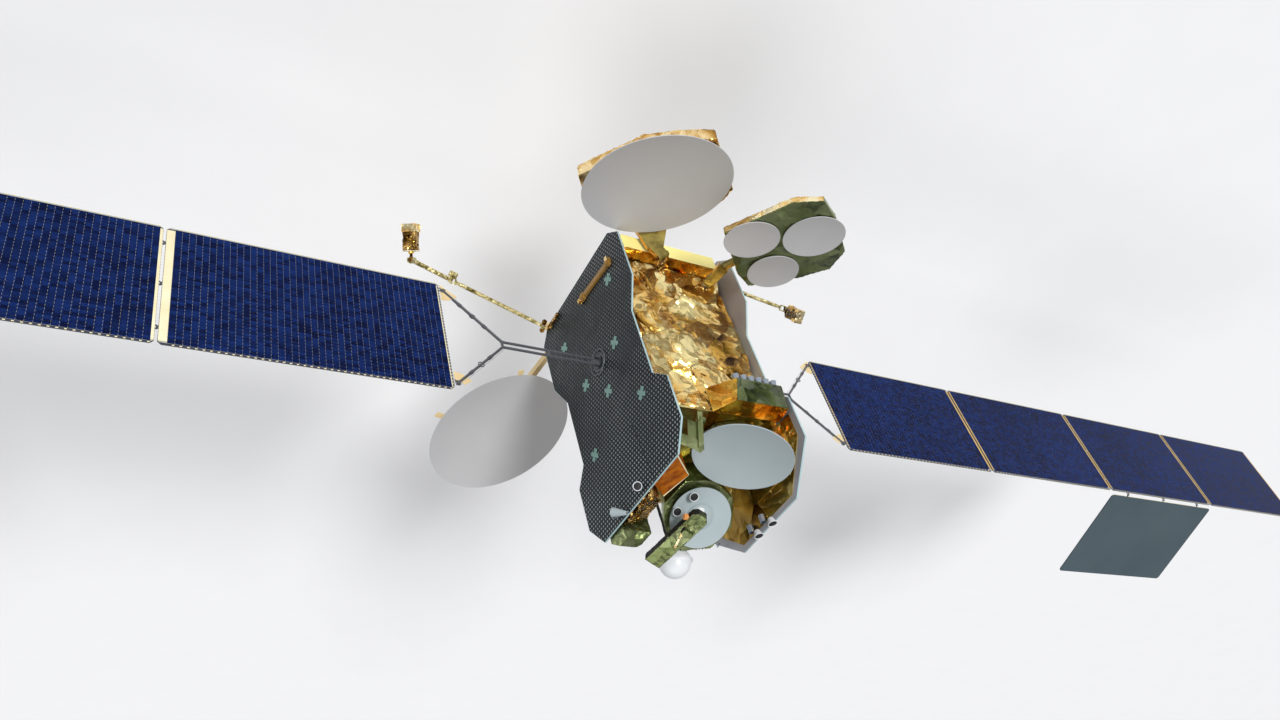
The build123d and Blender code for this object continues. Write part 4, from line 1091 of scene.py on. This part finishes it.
@dataclass
class SolarWing(Assembly):
    """One solar wing: drive, yoke, four panels and the lateral panel."""

    side: Side = Side.PLUS_X
    panels: int = 4
    first_panel: float = 3.838
    length: float = 3.935
    gap: float = 0.04
    width: float = 2.2
    thickness: float = 0.024
    inner_margin: float = 0.04
    outer_margin: float = 0.11
    narrow_strip: float = 0.05
    columns: int = 42
    rows: int = 35
    cell_gap: float = 0.0034
    cell_height: float = 0.0015
    edge_gap: float = 0.004
    first_strip: float = 0.012
    strip_inset: float = 0.05
    clip: Place = (0.03, 0.006, 0.012)
    sector_centre: tuple[float, float] = (3.815, 1.09)
    sector_radius: float = 0.34
    sector_band: float = 0.16
    sector_thickness: float = 0.005
    sector_lean: float = 0.75
    branch: tuple[float, float] = (2.91, 0.055)
    corner: tuple[float, float] = (3.764, 0.96)
    pulley_share: float = 0.5
    pulley_radius: float = 0.045
    pulley_wire: float = 0.008
    lateral_swing: float = 73.1
    lateral_line: tuple[float, float] = (0.02, 1.145)
    tab_margin: float = 0.06
    tab_half: float = 0.014
    tab_reach: tuple[float, float] = (0.02, 0.06)
    tab_depth: tuple[float, float] = (0.018, 0.022)
    wire_radius: float = 0.004
    guard_rings: tuple[tuple[float, float], ...] = ((1.176, 0.16), (1.195, 0.22))
    guard_wire: float = 0.009
    post_foot: float = 1.165
    post_radius: float = 0.008
    harness_heights: tuple[float, ...] = (-0.5, 0.5)
    harness_width: float = 0.07
    harness_depth: float = 0.002
    harness_inset: float = 0.12
    bush_stations: tuple[float, ...] = (0.75, 3.1)
    bush_heights: tuple[float, ...] = (-0.78, 0.0, 0.78)
    bush_radius: float = 0.045
    bush_depth: float = 0.003

    def build(self) -> None:
        """Models and dresses the wing."""
        label = self.side.label
        self.dress(Finish.DRIVE, f"drive_ring_{label}", f"drive_hub_{label}")
        self.dress(Finish.CARBON, f"yoke_{label}")
        self.dress(Finish.LATERAL, f"lateral_panel_{label}")
        for index in range(self.panels):
            self.panel(index)
            self.panel_back(index)
        self.yoke_trim()
        self.lateral_tabs()
        self.drive_guard()

    def drive_guard(self) -> None:
        """Models the round cable guard about the wing's root."""
        pieces = []
        for outward, radius in self.guard_rings:
            place = axes_at(self.point(outward, 0, 0), Vector((1, 0, 0)), Vector((0, 1, 0)))
            pieces.append(Bench.ring("ring", place, radius, self.guard_wire))
        outward, radius = self.guard_rings[1]
        for corner in range(4):
            angle = math.pi / 4 + corner * math.pi / 2
            across, height = radius * math.cos(angle), radius * math.sin(angle)
            foot, top = (self.point(reach, across, height) for reach in (self.post_foot, outward))
            pieces.append(Bench.rod("post", foot, top, self.post_radius, sides=10))
        guard = Bench.join(pieces, f"cable_guard_{self.side.label}")
        self.add(guard, Finish.GUARD, Slot.DRIVE)

    def point(self, outward: float, across: float, height: float) -> Vector:
        """Returns a place on the wing, counted outward from the body and up from the wing's axis."""
        return Vector((self.side.sign * outward, across, WING_AXIS_HEIGHT + height))

    def panel_start(self, index: int) -> float:
        """Returns how far from the body's middle a panel's inner edge is."""
        return self.first_panel + index * (self.length + self.gap)

    def yoke_sector(self, edge: int) -> Object:
        """Models the sector in one corner of the yoke: a band in the upper corner, full in the lower."""
        Bench.clear()
        bpy.ops.mesh.primitive_cylinder_add(
            vertices=64,
            radius=self.sector_radius,
            depth=self.sector_thickness,
            rotation=(math.pi / 2, 0, 0),
        )
        sector = Bench.take("sector")
        if edge > 0:
            Bench.pick(sector, "FACE", lambda face: abs(face.normal.y) > 0.9)
            bpy.ops.mesh.inset(thickness=self.sector_band)
            bpy.ops.mesh.bridge_edge_loops()
            bpy.ops.object.mode_set(mode="OBJECT")
        sign = self.side.sign
        Bench.trim(sector, (0, 0, 0), (sign, 0, 0))
        Bench.trim(sector, (0, 0, 0), (-sign * self.sector_lean, 0, edge))
        Bench.done(sector)
        outward, height = self.sector_centre
        return Bench.put(sector, Matrix.Translation(self.point(outward, 0, edge * height)))

    def yoke_trim(self) -> None:
        """Models the yoke's corner sectors, its cable pulleys and its tension wires."""
        label, body = self.side.label, f"yoke_{self.side.label}"
        sectors, pulleys, wires = [], [], []
        for edge in (-1, 1):
            sectors.append(self.yoke_sector(edge))
            branch = self.point(self.branch[0], 0, edge * self.branch[1])
            corner = self.point(self.corner[0], 0, edge * self.corner[1])
            arm = corner - branch
            place = branch + arm * self.pulley_share
            flat = axes_at(place, Vector((0, 1, 0)), arm)
            pulleys.append(Bench.ring("pulley", flat, self.pulley_radius, self.pulley_wire))
            reach = -edge * self.side.sign * self.pulley_radius
            offset = Vector((0, 1, 0)).cross(arm).normalized() * reach
            points = [stop + offset for stop in (branch, place, corner)]
            wires += Bench.rods("wire", points, self.wire_radius, 8)
        self.add(Bench.join(sectors, f"yoke_sectors_{label}"), Finish.FAN, body=body)
        self.add(Bench.join(pulleys, f"yoke_pulleys_{label}"), Finish.DRIVE, Slot.DRIVE, body)
        self.add(Bench.join(wires, f"yoke_wires_{label}"), Finish.ALUMINIUM, Slot.CARBON, body)

    def lateral_tabs(self) -> None:
        """Models the row of pale tabs along the lateral panel's hinge edge."""
        label = self.side.label
        start = self.panel_start(2) + self.tab_margin
        near, far = self.tab_reach
        low, high = self.tab_depth
        half = self.tab_half
        tab = Bench.block(f"lateral_tabs_{label}", (-half, near, low), (half, far, high), edge=0.001)
        count = int((self.length - 2 * self.tab_margin) / CELL_COLUMN)
        Bench.repeat(tab, (count, (CELL_COLUMN, 0, 0)))
        swing = math.radians(self.lateral_swing)
        along = Vector((0, math.sin(swing), math.cos(swing)))
        left, _ = self.span(start, start + (count - 1) * CELL_COLUMN)
        place = Vector((left, self.lateral_line[0], WING_AXIS_HEIGHT + self.lateral_line[1]))
        across = Vector((1, 0, 0))
        turn = Matrix((across, along, across.cross(along))).transposed().to_4x4()
        Bench.put(tab, Matrix.Translation(place) @ turn)
        self.add(tab, Finish.STRIP, body=f"lateral_{label}")

    def panel_back(self, index: int) -> None:
        """Models the harness strips and the hold-down bushes on the back of one panel."""
        label = self.side.label
        start = self.panel_start(index)
        back = self.thickness / 2
        left, right = self.span(start + self.harness_inset, start + self.length - self.harness_inset)
        strips, bushes = [], []
        for height in self.harness_heights:
            low = WING_AXIS_HEIGHT + height - self.harness_width / 2
            top = (right, back + self.harness_depth, low + self.harness_width)
            strips.append(Bench.block("strip", (left, back, low), top, edge=0.0008))
        for along in self.bush_stations:
            for height in self.bush_heights:
                foot = self.point(start + along, back, height)
                head = foot + Vector((0, self.bush_depth, 0))
                bushes.append(Bench.rod("bush", foot, head, self.bush_radius, sides=24, edge=0.001))
        body = f"panel_{index + 1}_{label}"
        self.add(Bench.join(strips, f"harness_{index + 1}_{label}"), Finish.FAN, body=body)
        bush = Bench.join(bushes, f"hold_down_bushes_{index + 1}_{label}")
        self.add(bush, Finish.ALUMINIUM, Slot.ALUMINIUM, body)

    def span(self, start: float, end: float) -> tuple[float, float]:
        """Returns the lower and the upper x of a stretch that is counted outward from the body."""
        return tuple(sorted((self.side.sign * start, self.side.sign * end)))

    def edge_strip(self, name: str, start: float, end: float) -> Object:
        """Models one strip across a panel's front, between two distances from the body."""
        front = -self.thickness / 2
        left, right = self.span(start, end)
        half = self.width / 2
        low = WING_AXIS_HEIGHT - half + self.strip_inset
        high = WING_AXIS_HEIGHT + half - self.strip_inset
        return Bench.block(name, (left, front - self.cell_height, low), (right, front, high), edge=0.0006)

    def panel(self, index: int) -> None:
        """Models the cells, strips and edge clips of one panel, and dresses its board."""
        ending = f"{index + 1}_{self.side.label}"
        body = f"panel_{ending}"
        self.dress(Finish.BOARD, body)
        start = self.panel_start(index)
        end = start + self.length
        front = -self.thickness / 2
        bottom = WING_AXIS_HEIGHT - self.rows * CELL_ROW / 2
        low, _ = self.span(start + self.inner_margin, end - self.outer_margin)
        cell = Bench.block(
            f"cells_{ending}",
            (low + self.cell_gap / 2, front - self.cell_height, bottom + self.cell_gap / 4),
            (low + CELL_COLUMN - self.cell_gap / 2, front, bottom + CELL_ROW - self.cell_gap / 4),
        )
        Bench.repeat(cell, (self.columns, (CELL_COLUMN, 0, 0)), (self.rows, (0, 0, CELL_ROW)))
        self.add(cell, Finish.CELLS, Slot.CELLS, body)

        plus = self.side is Side.PLUS_X
        inner = start + (self.inner_margin - self.first_strip if index == 0 else self.edge_gap)
        outer = end - (self.outer_margin if plus else self.narrow_strip)
        strips = [
            self.edge_strip("strip", inner, start + self.inner_margin),
            self.edge_strip("strip", outer, end - self.edge_gap),
        ]
        strip = Bench.join(strips, f"edge_strips_{ending}")
        self.add(strip, Finish.STRIP if plus else Finish.HINGE_GOLD, body=body)
        if not plus:
            border = self.edge_strip(f"cell_border_{ending}", end - self.outer_margin, outer)
            self.add(border, Finish.CELLS, Slot.CELLS, body)

        clips = []
        length, depth, height = self.clip
        left = low + self.cell_gap
        for edge in (-1, 1):
            place = WING_AXIS_HEIGHT + edge * self.width / 2
            corners = (left, front - depth, place - height / 2), (left + length, front, place + height / 2)
            clip = Bench.block("clip", *corners, edge=0.001)
            clips.append(Bench.repeat(clip, (self.columns, (CELL_COLUMN, 0, 0))))
        self.add(Bench.join(clips, f"edge_clips_{ending}"), Finish.STRIP, body=body)


@dataclass
class Antennas(Assembly):
    """The three deployable antenna assemblies on the body's sides."""

    tab_half: float = 0.055
    tab_root: float = -0.03
    tab_depth: float = 0.006
    tab_facing: Place = (-0.165, -0.204, 0.965)
    tabs: tuple[tuple[Place, Place, float], ...] = (
        # place on the rim, direction outward, length
        ((1.345, 2.164, 0.58), (0.096, -0.98, -0.167), 0.11),
        ((2.547, 3.142, 0.991), (0.949, -0.296, 0.123), 0.16),
    )

    def build(self) -> None:
        """Models and dresses the antennas."""
        for name in ("foil_side", "triple", "far_side"):
            tray = Finish.OLIVE_FOIL if name == "triple" else Finish.GOLD_FOIL
            body = f"{name}_antenna"
            self.dress(Finish.SKIN, f"{name}_reflector")
            blanket = self.wrap(f"{name}_tray", tray, Slot.OLIVE, 0.022, 0.026, 0.16, body)
            if name == "triple":
                looks = {
                    Finish.EDGE_FOIL: [(0.9, -0.43, 0.04)],
                    Finish.OLIVE_FOIL: [
                        (0.07, 0.23, 0.97),
                        (-0.07, -0.23, -0.97),
                        (-0.64, -0.74, 0.22),
                        (-0.67, 0.74, -0.13),
                        (0.69, 0.69, -0.21),
                    ],
                }
                self.face_finishes(blanket, looks)
            self.dress(Finish.FAN if name == "far_side" else Finish.ARM_FILM, f"{name}_arm")
            self.wrap(f"{name}_bracket", Finish.DARK_FOIL, Slot.GOLD, 0.012, 0.03, 0.08)
        self.rim_tabs()

    def rim_tabs(self) -> None:
        """Models the tan hold-down tabs on the far-side reflector's rim."""
        tabs = []
        for rim, outward, length in self.tabs:
            low = (self.tab_root, -self.tab_half, -self.tab_depth)
            tab = Bench.block("tab", low, (length, self.tab_half, self.tab_depth), edge=0.003)
            place = axes_at(Vector(rim), Vector(self.tab_facing), Vector(outward).normalized())
            tabs.append(Bench.put(tab, place))
        self.add(Bench.join(tabs, "rim_tabs_far_side"), Finish.FAN, body="far_side_antenna")


@dataclass(frozen=True)
class BoomLine:
    """The four points that one boom runs through, and what follows from them."""

    root: Vector
    elbow: Vector
    wrist: Vector
    tip: Vector

    @property
    def upward(self) -> Vector:
        """Returns the upper arm's direction."""
        return (self.elbow - self.root).normalized()

    @property
    def onward(self) -> Vector:
        """Returns the forearm's direction."""
        return (self.wrist - self.elbow).normalized()

    @property
    def outward(self) -> Vector:
        """Returns the pod's direction."""
        return (self.tip - self.wrist).normalized()

    @property
    def elbow_axis(self) -> Vector:
        """Returns the elbow hinge's axis."""
        return self.upward.cross(self.onward).normalized()

    @property
    def wrist_axis(self) -> Vector:
        """Returns the wrist hinge's axis."""
        return self.onward.cross(self.outward).normalized()


BOOM_LINES = {
    Side.PLUS_X: BoomLine(
        root=Vector((1.24, 1.2, 0.2)),
        elbow=Vector((2.76, 1.55, -0.95)),
        wrist=Vector((3.98, 0.52, -0.03)),
        tip=Vector((4.08, 0.13, -0.47)),
    ),
    Side.MINUS_X: BoomLine(
        root=Vector((-1.24, 1.2, 0.2)),
        elbow=Vector((-2.2, 0.29, -1.19)),
        wrist=Vector((-3.4, -0.39, 0.09)),
        tip=Vector((-3.4, -0.63, 0.55)),
    ),
}


@dataclass
class Booms(Assembly):
    """The two thruster booms."""

    sleeve_radius: float = 0.04
    rib: float = 0.014
    rib_pitch: float = 0.025
    clearance: float = 0.17
    reel_half: float = 0.075
    reel_depth: float = 0.062
    reel_offset: float = 0.108
    base_box: tuple[Place, Place] = ((1.166, 0.72, 0.3), (1.225, 1.1, 0.36))
    motor: Place = (0.06, 0.08, 0.05)
    neck: Place = (0.1, 0.18, 0.045)
    pod_start: float = 0.15
    pod_half: tuple[float, float] = (0.136, 0.1)
    cap_share: float = 0.68
    cap_scale: float = 1.02
    cap_overlap: float = 0.01
    end_plates: tuple[tuple[float, float, float, float], ...] = (
        # shares of the pod's half-width and half-depth, lower and upper height
        (1.05, 0.5, -0.008, 0.004),
        (0.3, 1.05, -0.012, 0.002),
    )
    thruster_shares: tuple[float, float] = (0.27, 0.73)
    thruster_radius: float = 0.068
    thruster_length: float = 0.05
    thruster_seat: float = 0.01
    thruster_wall: float = 0.006

    def build(self) -> None:
        """Models and dresses the booms."""
        for side, line in BOOM_LINES.items():
            label = side.label
            self.dress(Finish.GOLD_FOIL, f"boom_base_{label}")
            self.dress(Finish.BOOM_WRAP, f"boom_upper_arm_{label}", f"boom_forearm_{label}")
            self.sleeve(f"upper_arm_{label}", line.root, line.elbow)
            self.sleeve(f"forearm_{label}", line.elbow, line.wrist)
            self.reel(f"upper_arm_{label}", line)
            self.root_motors(side, line)
            self.pod(f"pod_{label}", line)

    def sleeve(self, body: str, start: Vector, end: Vector) -> None:
        """Models the ribbed sleeve round one arm."""
        along = end - start
        count = int((along.length - 2 * self.clearance) / self.rib_pitch)
        foot, head = Vector((0, 0, 0)), Vector((0, 0, self.rib))
        sleeve = Bench.rod(f"ribbed_sleeve_{body}", foot, head, self.sleeve_radius, sides=16, edge=0.004)
        Bench.repeat(sleeve, (count, (0, 0, self.rib_pitch)))
        first = start + along.normalized() * self.clearance
        Bench.put(sleeve, axes_at(first, along, Vector((0, 1, 0.1))))
        self.add(sleeve, Finish.BOOM_WRAP, body=body)

    def reel(self, body: str, line: BoomLine) -> None:
        """Models the wrapped cable reel that stands beside the elbow."""
        half, depth = (self.reel_half, self.reel_half), self.reel_depth
        reel = Bench.slab(f"elbow_reel_{body}", half, -depth, depth, edge=0.01)
        Bench.crumple(reel, weave=0.008, swell=0.025, crease=0.06)
        middle = line.elbow + line.elbow_axis * self.reel_offset
        Bench.put(reel, axes_at(middle, line.elbow_axis, line.upward))
        self.add(reel, Finish.BOOM_WRAP, body=body)

    def root_motors(self, side: Side, line: BoomLine) -> None:
        """Models the wrapped motors at the root hinge's ends, and the +X base's wrapped box."""
        near, length, radius = self.motor
        axis = line.upward.cross(Vector((0, 0, 1))).normalized()
        motors = []
        for end in (-1, 1):
            start = line.root + axis * end * near
            tip = start + axis * end * length
            motors.append(Bench.rod("motor", start, tip, radius, sides=24, edge=0.012))
        if side is Side.PLUS_X:
            motors.append(Bench.block("wrap", *self.base_box))
        motor = Bench.join(motors, f"root_motors_{side.label}")
        Bench.crumple(motor, weave=0.007, swell=0.012, crease=0.05)
        self.add(motor, Finish.DARK_FOIL)

    def pod(self, body: str, line: BoomLine) -> None:
        """Models a pod's blanket, its cap, neck, end plates and thruster rings."""
        length = (line.tip - line.wrist).length - self.pod_start
        across, deep = self.pod_half
        outward, axis = line.outward, line.wrist_axis
        place = axes_at(line.wrist + outward * self.pod_start, outward, axis)
        blanket = self.wrap(f"thruster_{body}", Finish.DARK_FOIL, Slot.GOLD, 0.01, 0.035, 0.08, body)
        # The pod's face along the wrist axis is painted black: painted shadow on its shaded side.
        looks = {
            Finish.BLACK: [axis],
            Finish.DARK_FOIL: [-axis, outward.cross(axis), axis.cross(outward)],
            Finish.STRIP: [outward],
        }
        self.face_finishes(blanket, looks)
        half = (across * self.cap_scale, deep * self.cap_scale)
        bottom, top = length * self.cap_share, length + self.cap_overlap
        cap = Bench.slab(f"pod_cap_{body}", half, bottom, top, edge=0.01)
        Bench.crumple(cap, weave=0.009, swell=0.03, crease=0.07)
        self.add(Bench.put(cap, place), Finish.EDGE_FOIL, body=body)

        near, far, radius = self.neck
        ends = [line.wrist + outward * reach for reach in (near, far)]
        neck = Bench.rod(f"pod_neck_{body}", *ends, radius, sides=20, edge=0.008)
        self.add(neck, Finish.ORANGE_FOIL, body=body)

        plates = [
            Bench.slab("plate", (across * wide, deep * thick), low, high, edge=0.002)
            for wide, thick, low, high in self.end_plates
        ]
        plate = Bench.put(Bench.join(plates, f"pod_plates_{body}"), place)
        self.add(plate, Finish.STRIP, body=body)

        firing = axis.cross(outward).normalized()
        rings = []
        for share in self.thruster_shares:
            station = line.wrist + outward * (self.pod_start + share * length)
            spot = axes_at(station + firing * (deep - self.thruster_seat), firing, outward)
            size = self.thruster_radius, self.thruster_length, self.thruster_wall
            rings.append(Bench.cup("ring", spot, *size))
        self.add(Bench.join(rings, f"thruster_rings_{body}"), Finish.ENGINE, Slot.ALUMINIUM, body)


@dataclass
class Studio:
    """The floor, the light and the camera at the photograph's viewing angle."""

    floor_height: float = -3.4
    floor_size: float = 3000.0
    camera_place: Place = (8.994, -9.989, 12.698)
    right: Place = (-0.84602, -0.4754, 0.24135)
    down: Place = (-0.15908, 0.65714, 0.73679)
    forward: Place = (-0.50887, 0.58495, -0.63157)
    lens: float = 28.17
    sensor: float = 36.0
    farthest: float = 2000.0
    floor_tones: tuple[Colour, Colour] = ((0.86, 0.86, 0.87), (0.89, 0.89, 0.9))
    sky: Colour = (0.94, 0.95, 0.97)
    sky_strength: float = 0.34
    lamp_distance: float = 30.0
    suns: tuple[tuple[str, Place, float, float], ...] = (
        # name, direction it stands in, half-angle of its disc in degrees, strength
        ("key softbox", (0.12, -0.86, 0.5), 9.0, 2.7),
        ("top softbox", (0.35, 0.2, 0.9), 25.0, 1.0),
    )

    def build(self) -> None:
        """Sets the floor, the lamps, the world and the camera."""
        self.floor()
        self.light()
        self.camera()

    def floor(self) -> None:
        """Lays a plain pale floor."""
        Bench.clear()
        bpy.ops.mesh.primitive_plane_add(size=self.floor_size, location=(0, 0, self.floor_height))
        floor = Bench.take("floor")
        recipe = Recipe("pale floor", 0.9)
        recipe.set(base_color=recipe.mix(recipe.noise(0.6, 2.0), *self.floor_tones))
        floor.data.materials.append(recipe.material)

    def light(self) -> None:
        """Sets the soft lamps and a plain world."""
        for name, direction, spread, strength in self.suns:
            Bench.clear()
            direction = Vector(direction)
            turn = direction.to_track_quat("Z", "Y").to_euler()
            place = direction * self.lamp_distance
            bpy.ops.object.light_add(type="SUN", location=place, rotation=turn)
            lamp = bpy.context.object
            lamp.name = name
            lamp.data.angle = math.radians(2 * spread)
            lamp.data.energy = strength
        world = bpy.data.worlds.new("studio")
        bpy.context.scene.world = world
        world.use_nodes = True
        background = world.node_tree.nodes["Background"]
        background.inputs["Color"].default_value = with_alpha(self.sky)
        background.inputs["Strength"].default_value = self.sky_strength

    def camera(self) -> None:
        """Sets the camera and the view transform."""
        Bench.clear()
        axes = Matrix((self.right, -Vector(self.down), -Vector(self.forward))).transposed()
        bpy.ops.object.camera_add(location=self.camera_place, rotation=axes.to_euler())
        camera = bpy.context.object
        camera.data.sensor_width = self.sensor
        camera.data.lens = self.lens
        camera.data.clip_end = self.farthest
        bpy.context.scene.camera = camera
        bpy.context.scene.view_settings.view_transform = "Standard"


def main() -> None:
    """Builds the satellite's looks in order."""
    logging.basicConfig(level=logging.INFO, format="%(message)s")
    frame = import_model()
    Studio().build()
    Body(frame).build()
    EarthDeck(frame).build()
    for side in Side:
        SolarWing(frame, side).build()
    Antennas(frame).build()
    Booms(frame).build()


if __name__ == "__main__":
    main()
